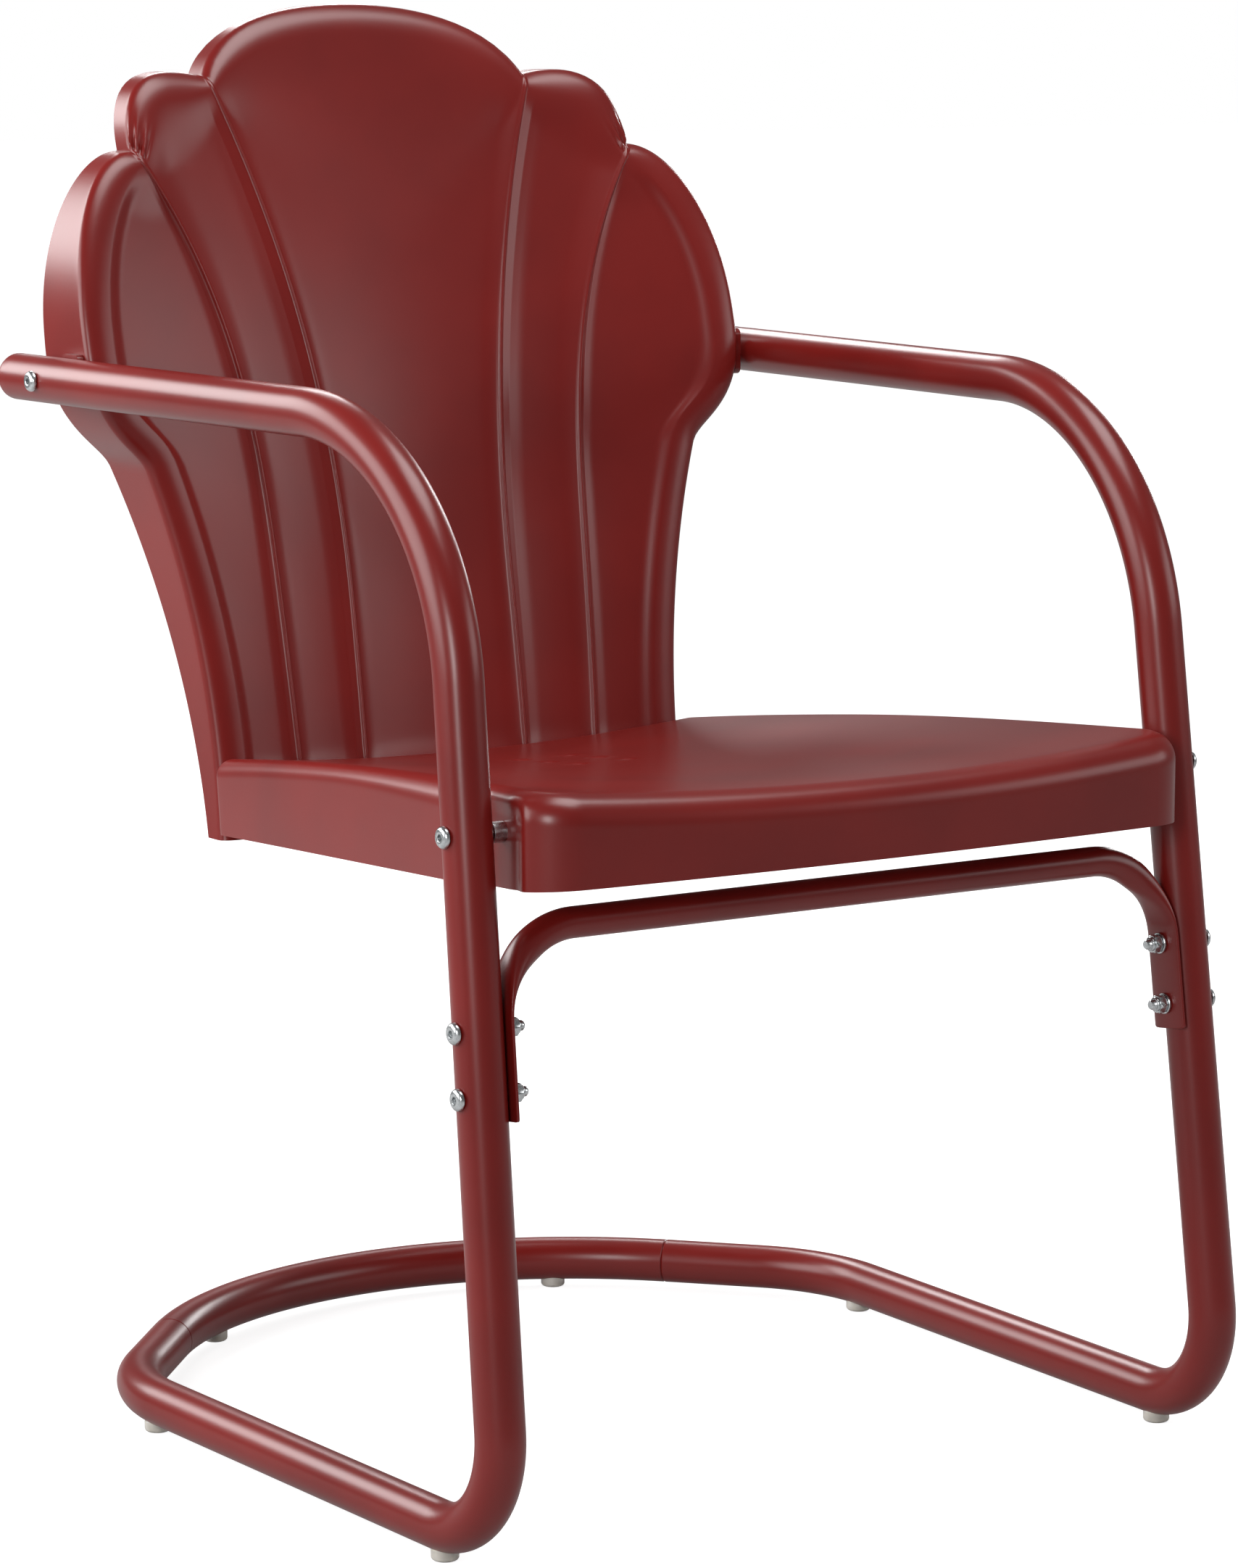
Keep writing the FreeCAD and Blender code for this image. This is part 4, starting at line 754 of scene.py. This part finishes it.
def edge_grid(stretch, edge, inner, shares):
    """Rolled rim and flange along one stretch of the outline."""
    outer, within = at(edge, shares), at(inner, shares)
    length = np.linalg.norm(np.diff(edge, axis=0), axis=1).sum()
    outward = outer - within
    outward = outward / np.maximum(np.linalg.norm(outward, axis=1), 1)[:, None]
    rows = []
    for turn in np.linspace(0, 1, RIM_ROWS):
        angle = turn * pi / 2
        fold = gathers((1 - shares) * length, turn) if stretch == "lobe" else 0 * shares
        spot = within + (outer - within) * sin(angle) - outward * (fold * sin(angle))[:, None]
        across, height = spot.T
        drop = RIM_DROP * (1 - cos(angle)) + (fold - bead_height(across, height)) * cos(angle)
        rows.append(np.stack([across, face_depth(across, height) + drop, height], -1))
    across, height = outer.T
    start, rear = rows[-1][:, 1], face_depth(across, height) + flange_depth(stretch, height)
    for share in np.linspace(0, 1, FLANGE_ROWS + 1)[1:]:
        rows.append(np.stack([across, start * (1 - share) + rear * share, height], -1))
    return np.stack(rows)


inner, outer = inner_line, outer_line
crown, over_crown = petal_grid(inner * MIRROR, inner, inner[0], crown_inner, 26, (rising, rising),
                               fade=12.0, crown_fade=130.0)
lobe, over_lobe = petal_grid(inner, outer, outer[0], lobe_inner, 14, (falling, rising), fade=14.0, crown_fade=26.0)
point = np.tile(outer[-1], (EVEN, 1))
wing, _ = petal_grid(outer, wing_inner, wing_inner[0], point, 14, (falling, rolling), fade=34.0)
grids = [crown, edge_grid("crown", crown_edge, crown_inner, over_crown)]
for grid in (lobe, edge_grid("lobe", lobe_edge, lobe_inner, over_lobe), wing,
             edge_grid("wing", wing_edge, wing_inner, ups)):
    grids.extend([grid, grid * (-1, 1, 1)])
points, faces = np.empty((0, 3)), []
for grid in grids:
    faces.extend(grid_faces(*grid.shape[:2], len(points)))
    points = np.vstack([points, grid.reshape(-1, 3)])
back_face = finish_piece(mesh_object("back_face", points, faces=faces), powder_coat, sharp=SHEET_SHARP)
tell(back_face)

# %% [markdown]
# A Solidify modifier gives the sheet its wall, to the side away from the sitter. The sheet's faces must look to the
# sitter for that, so one face in the middle is tested and the sheet is turned if needed.

# %% Give a sheet its wall
def walled(source, name, forward):
    """Sheet with a wall behind its shown side; forward is the side that shows at its middle."""
    middle = max(source.data.polygons, key=lambda face: abs(face.normal @ Vector(forward)) * face.area)
    if middle.normal @ Vector(forward) < 0:
        source.data.flip_normals()
    wall = source.modifiers.new("wall", "SOLIDIFY")
    wall.thickness = SHEET / 1000
    wall.offset = -1
    wall.use_even_offset = True
    wall.thickness_clamp = 1.0
    return finish_piece(baked(source, name), powder_coat, sharp=SHEET_SHARP, outward=False)


back = walled(back_face, "petal_back", (0, -1, 0))
tell(back)

# %% [markdown]
# The seat pan is stamped too: a dished top whose height is a formula, an edge rolled down all round, and a flange
# that ends in a straight hem. Its outline is an arc at the front, two straight sides and the curve of the back,
# with a round at each corner. It is one closed line, so that rings can be drawn inside it.

# %% Outline of the seat
SEAT_FRONT = -7.0
FRONT_BOW = 2100.0
FRONT_CORNER, REAR_CORNER = 36.0, 14.0
SEAT_DEPTH = 458.0
REAR_LEVEL = 390.0
REAR_HALF = 181.0
CONTACT = 0.3
SEAT_BOLT = 410.8
SEAT_LEG = leg_at(SEAT_BOLT)
SEAT_SIDE = leg_face(SEAT_BOLT, -1) - 2.0
SIDE_GAIN = (REAR_HALF - SEAT_SIDE) / (SEAT_DEPTH - SEAT_LEG[1])


def seat_side(depth):
    return SEAT_SIDE + SIDE_GAIN * (depth - SEAT_LEG[1])


def rear_line(across):
    return face_depth(across, REAR_LEVEL) - CONTACT


def seat_outline():
    """Closed outline, anticlockwise from the middle of the front, with its directions outwards."""
    lean = hypot(1, SIDE_GAIN)
    middle = SEAT_FRONT + FRONT_BOW
    out_side = unit([1, -SIDE_GAIN])
    depth, touch = 0.0, 170.0
    for _ in range(20):
        across = seat_side(depth) - FRONT_CORNER * lean
        depth = middle - sqrt((FRONT_BOW - FRONT_CORNER) ** 2 - across ** 2)
        out_rear = unit([touch / WRAP_RADIUS, 1])
        rear_spot = np.array([touch, rear_line(touch)]) - out_rear * REAR_CORNER
        touch = touch + (seat_side(rear_spot[1]) - REAR_CORNER * lean - rear_spot[0])
    front_spot = np.array([across, depth])
    out_front = unit(front_spot - (0, middle))
    points, outs = [], []

    def turn(spot, radius, start, end, count, endpoint=True):
        first, last = atan2(start[1], start[0]), atan2(end[1], end[0])
        for angle in np.linspace(first, last, count, endpoint=endpoint):
            way = np.array([cos(angle), sin(angle)])
            points.append(spot + way * radius)
            outs.append(way)

    turn((0, middle), FRONT_BOW, (0, -1), out_front, 36, endpoint=False)
    turn(front_spot, FRONT_CORNER, out_front, out_side, 26)
    start, end = points[-1][1], rear_spot[1] + out_side[1] * REAR_CORNER
    for depth in np.concatenate([np.arange(start + 2, 90, 1.6), np.arange(91, end - 2, 6.0)]):
        points.append(np.array([seat_side(depth), depth]))
        outs.append(out_side)
    turn(rear_spot, REAR_CORNER, out_side, out_rear, 16)
    for across in np.linspace(touch, 0, 32)[1:]:
        points.append(np.array([across, rear_line(across)]))
        outs.append(unit([across / WRAP_RADIUS, 1]))
    return [np.vstack([half, half[-2:0:-1] * MIRROR]) for half in (np.array(points), np.array(outs))]


seat_line, seat_out = seat_outline()
print("seat outline has", len(seat_line), "points, from", seat_line.min(0).round(1), "to", seat_line.max(0).round(1))

# %% [markdown]
# The roll, the flange and the hem are rings of the outline. At each leg a shallow channel is pressed in the side for
# the spacer and bolt; its soft shoulder shows beside the front corner.

# %% Seat pan
SEAT_ROLL = 12.0
FRONT_ROLL = 18.0
ROLL_ROWS, SIDE_ROWS = 16, 29
CREST_FRONT, CREST_REAR, CREST_BOW = 438.0, 398.0, 6.3
DISH, DISH_BOW = 10.0, 7.0
HEM_FRONT, HEM_REAR = 382.7, 351.5
DEPTH_LIMIT = 470.0
DRAINS = np.array([(across, 323.0 + step * 32.0) for across in (-18.0, 18.0) for step in (-1, 0, 1)])
DRAIN = 6.0
DIMPLE, DIMPLE_WIDTH = 1.3, 5.0
POCKET, POCKET_HALF, POCKET_ABOVE, SHOULDER = 7.0, 14.0, 8.5, 16.0
ROLL_FROM, ROLL_FADE = 60.0, 220.0
LEAN_FROM, LEAN_OVER = 330.0, 130.0
SIDE_FROM, SIDE_FADE = 196.0, 12.0


def seat_height(across, depth):
    depth = np.clip(depth, None, DEPTH_LIMIT)
    share = depth / SEAT_DEPTH
    bow = 4 * share * (1 - share)
    crest = CREST_FRONT - (CREST_FRONT - CREST_REAR) * share + CREST_BOW * bow
    return crest - (DISH + DISH_BOW * bow) * (1 - (across / seat_side(depth)) ** 2)


def to_drain(across, depth):
    """Distance to the middle of the nearest drain hole."""
    return np.hypot(np.subtract.outer(across, DRAINS[:, 0]), np.subtract.outer(depth, DRAINS[:, 1])).min(-1)


def with_back(points):
    """Points near the rear follow the lean of the back."""
    moved = points.copy()
    share = np.clip((points[:, 1] - LEAN_FROM) / LEAN_OVER, 0, 1)
    moved[:, 1] += share * (face_depth(points[:, 0], points[:, 2]) - face_depth(points[:, 0], REAR_LEVEL))
    return moved


def pocket_depth(depth, height):
    """How far the side is pressed in at a leg: a channel with a soft shoulder, open at the hem."""
    gap = np.hypot(np.clip(np.abs(depth - SEAT_LEG[1]) - POCKET_HALF, 0, None),
                   np.clip(height - SEAT_LEG[2] - POCKET_ABOVE, 0, None))
    return POCKET * (1 - eased(gap / SHOULDER))


rings = []
roll = SEAT_ROLL + (FRONT_ROLL - SEAT_ROLL) * (1 - eased((seat_line[:, 1] - ROLL_FROM) / ROLL_FADE))
for angle in np.linspace(pi / 2, 0, ROLL_ROWS):
    flat = seat_line - seat_out * (roll * (1 - cos(angle)))[:, None]
    rings.append(np.column_stack([flat, seat_height(*flat.T) - roll * (1 - sin(angle))]))
top = rings[-1][:, 2]
hem = HEM_FRONT + (HEM_REAR - HEM_FRONT) / SEAT_DEPTH * seat_line[:, 1]
for share in np.linspace(0, 1, SIDE_ROWS + 1)[1:]:
    rings.append(np.column_stack([seat_line, top + (hem - top) * share]))
rim = rings[0][:, :2]
points = with_back(np.vstack(rings))
side_share = eased((np.abs(points[:, 0]) - SIDE_FROM) / SIDE_FADE)
points[:, 0] -= np.sign(points[:, 0]) * side_share * pocket_depth(points[:, 1], points[:, 2])
faces = grid_faces(len(rings), len(seat_line), ring=True)
print("roll and flange have", len(faces), "faces")

# %% [markdown]
# The top of the seat is filled with small triangles from a plan view. A triangle is kept if it lies outside the six
# drain holes and inside the roll, which it does if a line to its right crosses the roll an odd number of times.

# %% Seat top with its drain holes
DRAIN_POINTS = 24
DRAIN_RINGS = (DRAIN / 2, 4.2, 5.6, 7.4)
PLAN_HALF = 220.0
PLAN_STEP = (7.333, 7.0)
CLEAR_RIM, CLEAR_DRAIN = 5.0, 9.5
plan = [Vector(spot) for spot in rim]
edges = [(k, (k + 1) % len(plan)) for k in range(len(plan))]
for middle in DRAINS:
    for radius in DRAIN_RINGS:
        first = len(plan)
        for k in range(DRAIN_POINTS):
            angle = k * 2 * pi / DRAIN_POINTS
            plan.append(Vector(middle + (radius * cos(angle), radius * sin(angle))))
            edges.append((first + k, first + (k + 1) % DRAIN_POINTS))
for y in np.arange(rim[:, 1].min() + CLEAR_RIM, rim[:, 1].max(), PLAN_STEP[1]):
    for x in np.arange(-PLAN_HALF, PLAN_HALF + 0.1, PLAN_STEP[0]):
        if np.hypot(*(rim - (x, y)).T).min() >= CLEAR_RIM and to_drain(x, y) >= CLEAR_DRAIN:
            plan.append(Vector((x, y)))
spots, _, triangles, *_ = delaunay_2d_cdt(plan, edges, [], 0, 0.0001)
spots, triangles = np.array([list(spot) for spot in spots]), np.array(triangles)
ahead = np.roll(rim, -1, 0)
x, y = spots[triangles].mean(1).T[:, :, None]
with np.errstate(divide="ignore", invalid="ignore"):
    cut = rim[:, 0] + (y - rim[:, 1]) / (ahead[:, 1] - rim[:, 1]) * (ahead[:, 0] - rim[:, 0])
crossings = (((rim[:, 1] > y) != (ahead[:, 1] > y)) & (x < cut)).sum(1)
inside = (crossings % 2 == 1) & (to_drain(x[:, 0], y[:, 0]) >= DRAIN / 2)
dimple = DIMPLE * (1 - eased((to_drain(*spots.T) - DRAIN / 2) / DIMPLE_WIDTH))
faces += (triangles[inside] + len(points)).tolist()
points = np.vstack([points, with_back(np.column_stack([spots, seat_height(*spots.T) - dimple]))])
seat_face = finish_piece(mesh_object("seat_face", points, faces=faces), powder_coat, sharp=SHEET_SHARP)
seat = walled(seat_face, "seat_pan_dressed", (0, 0, 1))
tell(seat)

# %% [markdown]
# Bolts, nuts, washers and glides are turned or pressed, so each is drawn once as rings round an axis. A ring is
# round, or has six flats for a nut or a socket, and a radius below the hexagon's corners chamfers a nut. The rings
# start and end on the axis, which closes the piece.

# %% Draw a turned piece
BOLT = 6.0
PITCH, THREAD_DEPTH, THREADED = 1.0, 0.34, 13.0
HEAD = 12.6
HEAD_HEIGHT = 3.4
SOCKET, SOCKET_CORNER = 4.0, 2.31
NUT_FLATS = 10.0
NUT_HEIGHT = 5.0
COLLAR = 8.6
COLLAR_HEIGHT = 1.6
COLLAR_ROUND = 0.9
TIP = 3.0
NUT_END = NUT_HEIGHT + COLLAR_HEIGHT + TIP


def turned(name, profile, finish):
    """Closed piece from rings of (radius, height) and, for a hexagon, its width across flats."""
    angles = np.linspace(0, 2 * pi, AROUND, endpoint=False)
    from_flat = (angles + pi / 6) % (pi / 3) - pi / 6
    points = []
    for radius, height, *flats in profile:
        reach = np.full(AROUND, float(radius))
        if flats:
            reach = np.minimum(flats[0] / 2 / np.cos(from_flat), radius)
        points.append(np.stack([reach * np.cos(angles), reach * np.sin(angles), np.full(AROUND, height)], -1))
    faces = grid_faces(len(profile), AROUND, ring=True)
    return finish_piece(mesh_object(name, np.vstack(points), faces=faces, origin=(0, 0, 0)), finish, sharp=30)


def round_to(start, end, steps, inwards=False):
    """Quarter of an ellipse between two rings; inwards it starts along the axis, else across it."""
    angles = pi / 2 * np.arange(1, steps + 1) / steps
    along, square = np.sin(angles), 1 - np.cos(angles)
    shares = (square, along) if inwards else (along, square)
    return [tuple(ring) for ring in start + np.subtract(end, start) * np.stack(shares, -1)]


def bolt_profile(length):
    """Button head with a hexagon socket below zero on the axis, and a shank above it with threads at its end."""
    bottom = -HEAD_HEIGHT + 2.0
    rings = [(0, bottom), (SOCKET_CORNER, bottom, SOCKET), (SOCKET_CORNER, -HEAD_HEIGHT + 0.25, SOCKET),
             (2.75, -HEAD_HEIGHT), (3.4, -HEAD_HEIGHT), *round_to((3.4, -HEAD_HEIGHT), (HEAD / 2, -0.7), 9),
             (HEAD / 2, -0.35), (HEAD / 2 - 0.3, 0), (BOLT / 2, 0)]
    level = max(length - THREADED, 1.0)
    rings.append((BOLT / 2, level))
    while level < length - 1.2:
        rings += [(BOLT / 2 - THREAD_DEPTH, level + 0.35), (BOLT / 2, level + 0.85), (BOLT / 2, level + PITCH)]
        level += PITCH
    return rings + [(BOLT / 2 - 0.7, length), (0, length)]


def nut_profile():
    """Lock nut: a hexagon with chamfered corners and a rounded collar."""
    wide = NUT_FLATS / 2 / cos(pi / 6) + 0.01
    end = NUT_HEIGHT + COLLAR_HEIGHT
    straight = (COLLAR / 2, end - COLLAR_ROUND)
    return [(0, 0), (4.6, 0), (4.9, 0.3), (wide - 0.55, 0.3, NUT_FLATS), (wide, 0.7, NUT_FLATS),
            (wide, NUT_HEIGHT - 0.5, NUT_FLATS), (wide - 0.75, NUT_HEIGHT, NUT_FLATS), (COLLAR / 2, NUT_HEIGHT),
            straight, *round_to(straight, (3.2, end), 5, inwards=True), (0, end)]


def disc_profile(diameter, thick, edge=0.25):
    half = diameter / 2
    return [(0, 0), (half - edge, 0), (half, edge), (half, thick - edge), (half - edge, thick), (0, thick)]


print("a bolt head has", len(bolt_profile(40)), "rings")

# %% [markdown]
# The same bolt sits in several places, so Geometry Nodes puts one pattern on a set of points. Each point carries
# the direction of its bolt, and the tree turns the pattern's own axis to it.

# %% A tree that sets patterns on points
tree, keys, given = start_tree("set_on_points", ("Pattern", "Object"))
pattern = add(tree, "GeometryNodeObjectInfo", {"Object": given["Pattern"]})
along = add(tree, "GeometryNodeInputNamedAttribute", {"Name": "along"}, data_type="FLOAT_VECTOR")
turn = add(tree, "FunctionNodeAlignRotationToVector", {"Vector": along.outputs["Attribute"]}, axis="Z")
copies = add(tree, "GeometryNodeInstanceOnPoints", {
    "Points": given["Source"], "Instance": pattern.outputs["Geometry"], "Rotation": turn.outputs["Rotation"]})
end_tree(tree, copies.outputs["Instances"], given["Finish"])
set_on_points = tree, keys


def set_pieces(name, profile, places, finish):
    """A turned piece set at each (spot, direction) of the drawing, as one finished piece."""
    spots, ways = zip(*places)
    source = mesh_object(name + "_places", spots)
    carry(source, "along", "FLOAT_VECTOR", "vector", [unit(way) for way in ways])
    pattern = turned(name + "_pattern", profile, finish)
    made = from_tree(source, name + "_dressed", *set_on_points, {"Pattern": pattern, "Finish": finish})
    bpy.data.objects.remove(pattern, do_unlink=True)
    tell(made)
    return give(made, finish)


print("tree", tree.name, "takes", list(keys))

# %% [markdown]
# Every bolt line is known from the drawing: two through each leg for the brace, one for the seat, one through each
# arm, and four from the seat's flange to the back. Heads, washers and nuts follow from what each bolt clamps.

# %% Places of the fasteners
WASHER = 12.5
WASHER_THICK = 1.5
STACK = WASHER_THICK + FIT
BRACE_BOLTS = (304.5, 268.5)
BACK_BOLTS, BACK_BOLT_LEVEL = (44.0, 132.0), 361.0
SEAT_OUT = leg_face(SEAT_BOLT, 1) + FIT
POCKET_FACE = SEAT_SIDE - POCKET
SEAT_IN = POCKET_FACE - SHEET - FIT
ARM_OUT = ARM_BOLT[0] + ARM_HALF + FIT
near_nut = wing_edge[np.abs(wing_edge[:, 1] - ARM_BOLT[2]) < NUT_FLATS]
ARM_IN = near_nut[:, 0].min() - SHEET - FIT
TILT = slope(LEG_SPLAY) * WASHER / 2
BRACE_GRIP = leg_face(BRACE_BOLTS[0], 1) - leg_face(BRACE_BOLTS[0], -1) + 3 * FIT + PLATE_THICK + TILT
BACK_FRONT = CONTACT + SHEET + FIT
BACK_REAR = SHEET + FIT

places = {}


def put(group, spot, way):
    places.setdefault(group, []).append((spot, way))


for side in (1, -1):
    def across_leg(group, across, line, way=-side):
        put(group, (side * across, *line[1:]), (way, 0, 0))

    across_leg("seat_side_bolts", SEAT_OUT, SEAT_LEG)
    across_leg("seat_side_nuts", SEAT_IN, SEAT_LEG)
    across_leg("arm_bolts", ARM_OUT, ARM_BOLT)
    across_leg("arm_nuts", ARM_IN, ARM_BOLT)
    across_leg("seat_spacers", POCKET_FACE + FIT, SEAT_LEG, side)
    for height in BRACE_BOLTS:
        leg = leg_at(height)
        inside = leg_face(height, -1) - 2 * FIT - PLATE_THICK - TILT
        across_leg("brace_bolts", leg_face(height, 1) + FIT, leg)
        across_leg("brace_washers", inside, leg)
        across_leg("brace_nuts", inside - STACK, leg)
    for across in BACK_BOLTS:
        spot = np.array([side * across, face_depth(across, BACK_BOLT_LEVEL), BACK_BOLT_LEVEL])
        way = face_normal(side * across, BACK_BOLT_LEVEL)
        put("back_bolts", spot - way * BACK_FRONT, way)
        put("back_washers", spot + way * BACK_REAR, way)
        put("back_nuts", spot + way * (BACK_REAR + STACK), way)
print({group: len(spots) for group, spots in places.items()})

# %% Bolts, nuts, washers and spacers
SPACER = 12.0
SPACER_LENGTH = 9.0 - 2 * FIT
GRIPS = {"seat_side_bolts": SEAT_OUT - SEAT_IN, "arm_bolts": ARM_OUT - ARM_IN, "brace_bolts": BRACE_GRIP + STACK,
         "back_bolts": BACK_FRONT + BACK_REAR + STACK}
profiles = {"nuts": nut_profile(), "washers": disc_profile(WASHER, WASHER_THICK),
            "spacers": disc_profile(SPACER, SPACER_LENGTH, 0.4)}
hardware = {}
for group, spots in places.items():
    profile = bolt_profile(GRIPS[group] + NUT_END) if group in GRIPS else profiles[group.split("_")[-1]]
    hardware[group] = set_pieces(group, profile, spots, zinc)

# %% [markdown]
# Six glides keep the tube off the floor. Each is a small round foot that hugs the tube from below and is held by a
# screw from underneath. It is a turned piece too, whose wide top runs a little up the tube.

# %% Floor glides and their screws
GLIDE = 16.0
GLIDE_DEPTHS = (62.0, 382.0)
BOW_GLIDE = 131.0
glide_lines = [(FLOOR_HALF + RUNNER_SPLAY * depth, depth) for depth in GLIDE_DEPTHS]
glide_lines.append((BOW_GLIDE, BOW_CENTRE + sqrt(BOW_RADIUS ** 2 - BOW_GLIDE ** 2)))
glide_spots = [((side * across, depth, 0), (0, 0, 1)) for side in (1, -1) for across, depth in glide_lines]
glides = set_pieces("floor_glides", [
    (0, 2.8), (3.9, 2.8), (4.0, 0.3), (4.4, 0), (5.6, 0), *round_to((5.6, 0), (GLIDE / 2, 2.2), 6),
    (GLIDE / 2, 6.4), (GLIDE / 2 - 0.5, 7.2), (0, 7.6)], glide_spots, milky)
screws = set_pieces("glide_screws", [
    (0, 1.7), (1.3, 1.7), (1.5, 1.05), (2.6, 1.0), *round_to((2.6, 1.0), (3.8, 2.2), 4),
    (3.8, 2.8), (2.0, 2.8), (2.0, 13.0), (0, 13.8)], glide_spots, zinc)

# %% [markdown]
# Now the plain solids that each piece stands for are hidden, and each piece is attached to what it moves with. The
# base stays on the floor and the rest flexes with the legs. The plain solids under the side tubes are hidden too,
# but the tubes themselves are attached to neither body. The brackets keep their plain solids and only get paint.

# %% What each piece replaces and rides on
for label, tube in side_tubes.items():
    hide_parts(label + "_floor_tube", label + "_arm_tube")
    spot = leg_at(90.0, 1 if label == "left" else -1) / 1000
    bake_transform(tube)
for piece, node, body, slot in (
    (rear_bow, "rear_base_tube", "floor_frame", "red_powder_coat"),
    (brace, "seat_brace", "seat_frame", "red_powder_coat"),
    (back, "back_shell", "seat_frame", "red_powder_coat"),
    (seat, "seat_pan", "seat_frame", "red_powder_coat"),
    (glides, "floor_glides", "floor_frame", "clear_plastic"),
    (screws, "glide_screws", "floor_frame", "zinc_steel"),
    *((piece, group, "seat_frame", "zinc_steel") for group, piece in hardware.items()),
):
    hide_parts(node)
    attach(piece, body)
for label in side_tubes:
    give(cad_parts[label + "_back_bracket"], powder_coat)
print("pieces dressed")

# %% [markdown]
# The studio is a white floor without an end and soft lights all round. Through Light Path the camera, and anything
# seen through clear plastic, is shown the floor and the world as white, so no extra light has to fall on the chair.
# Reflections are shown them darker, as the far walls of a studio are, which keeps the red deep. The floor keeps a
# faint shadow near the chair, and glows more the farther it is from it.

# %% Floor and world
SHOWN_IN_GLOSS = 0.15
SKY_LEVEL = 0.16
GLOW = (0.85, 1.0)
GLOW_FROM, GLOW_TO = 0.4, 2.6
FLOOR_REACH = 30000


def shown(tree, otherwise):
    """1 for rays from the camera or through clear plastic, a share for reflected rays, a level for the others."""
    path = add(tree, "ShaderNodeLightPath").outputs
    seen = of_two(tree, "MAXIMUM", path["Is Camera Ray"], path["Is Transmission Ray"])
    return of_two(tree, "MAXIMUM", seen, ranged(tree, path["Is Glossy Ray"], otherwise, SHOWN_IN_GLOSS))


floor_paint, tree, out = material("white_studio_floor")
spot = add(tree, "ShaderNodeTexCoord").outputs["Object"]
reach = add(tree, "ShaderNodeVectorMath", {0: spot}, operation="LENGTH")
level = ranged(tree, reach.outputs["Value"], *GLOW, **{"From Min": GLOW_FROM, "From Max": GLOW_TO})
glow = of_two(tree, "MULTIPLY", shown(tree, 0.0), level)
plain = add(tree, "ShaderNodeBsdfDiffuse", {"Color": paint("#A8A8A8")})
light = add(tree, "ShaderNodeEmission", {"Strength": glow})
both = add(tree, "ShaderNodeAddShader", {0: plain.outputs[0], 1: light.outputs[0]})
tree.links.new(both.outputs[0], out.inputs["Surface"])
corners = [(x * FLOOR_REACH, y * FLOOR_REACH, 0) for x, y in ((-1, -1), (1, -1), (1, 1), (-1, 1))]
floor = give(mesh_object("studio_floor", corners, faces=[(0, 1, 2, 3)], origin=(0, 0, 0)), floor_paint)
world = bpy.context.scene.world or bpy.data.worlds.new("studio")
bpy.context.scene.world = world
world.use_nodes = True
tree = world.node_tree
tree.nodes.clear()
sky = add(tree, "ShaderNodeBackground", {"Color": (1, 1, 1, 1), "Strength": shown(tree, SKY_LEVEL)})
add(tree, "ShaderNodeOutputWorld", {"Surface": sky.outputs[0]})
print("floor and world ready")

# %% Lights
for name, place, aim, size, watts in (
    ("overhead_light", (0.4, -0.4, 2.7), (0, 0, 0.4), (1.6, 1.2), 38),
    ("rear_left_light", (-1.45, 2.4, 1.75), (0, 0, 0.6), (1.3, 1.4), 46),
    ("rear_right_light", (1.1, 2.5, 2.1), (0.2, 0, 0.6), (0.8, 0.5), 22),
    ("left_light", (-1.95, 0.5, 1.2), (0, 0, 0.6), (1.9, 1.2), 36),
    ("front_left_light", (-2.2, -2.04, 1.2), (0, 0, 0.6), (0.5, 1.0), 26),
    ("right_light", (2.28, -1.62, 1.26), (0, 0, 0.65), (1.7, 0.9), 12),
    ("far_side_light", (2.4, 1.5, 1.15), (0, 0, 0.7), (0.4, 1.0), 16),
):
    lamp = bpy.data.lights.new(name, "AREA")
    lamp.shape = "RECTANGLE"
    lamp.size, lamp.size_y = size
    lamp.energy = watts
    made = placed(name, lamp)
    made.location = place
    made.rotation_euler = (Vector(aim) - Vector(place)).to_track_quat("-Z", "Y").to_euler()

# %% [markdown]
# The camera stands where the photograph was taken from: a little to the chair's right and slightly above the seat,
# three metres away with a long lens, so the lines stay nearly parallel.

# %% Camera
AZIMUTH = radians(-33.6257)
ELEVATION = radians(8.5708)
DISTANCE = 3.02271
TARGET = Vector((-0.03469, -0.0768, 0.39990))
lens = bpy.data.cameras.new("front_camera")
lens.lens = 116.3
camera = placed("front_camera", lens)
away = Vector((sin(AZIMUTH) * cos(ELEVATION), -cos(AZIMUTH) * cos(ELEVATION), sin(ELEVATION)))
camera.location = TARGET + away * DISTANCE
camera.rotation_euler = (-away).to_track_quat("-Z", "Y").to_euler()
bpy.context.scene.camera = camera
bpy.context.scene.view_settings.view_transform = "Standard"
print("camera at", [round(v, 3) for v in camera.location])
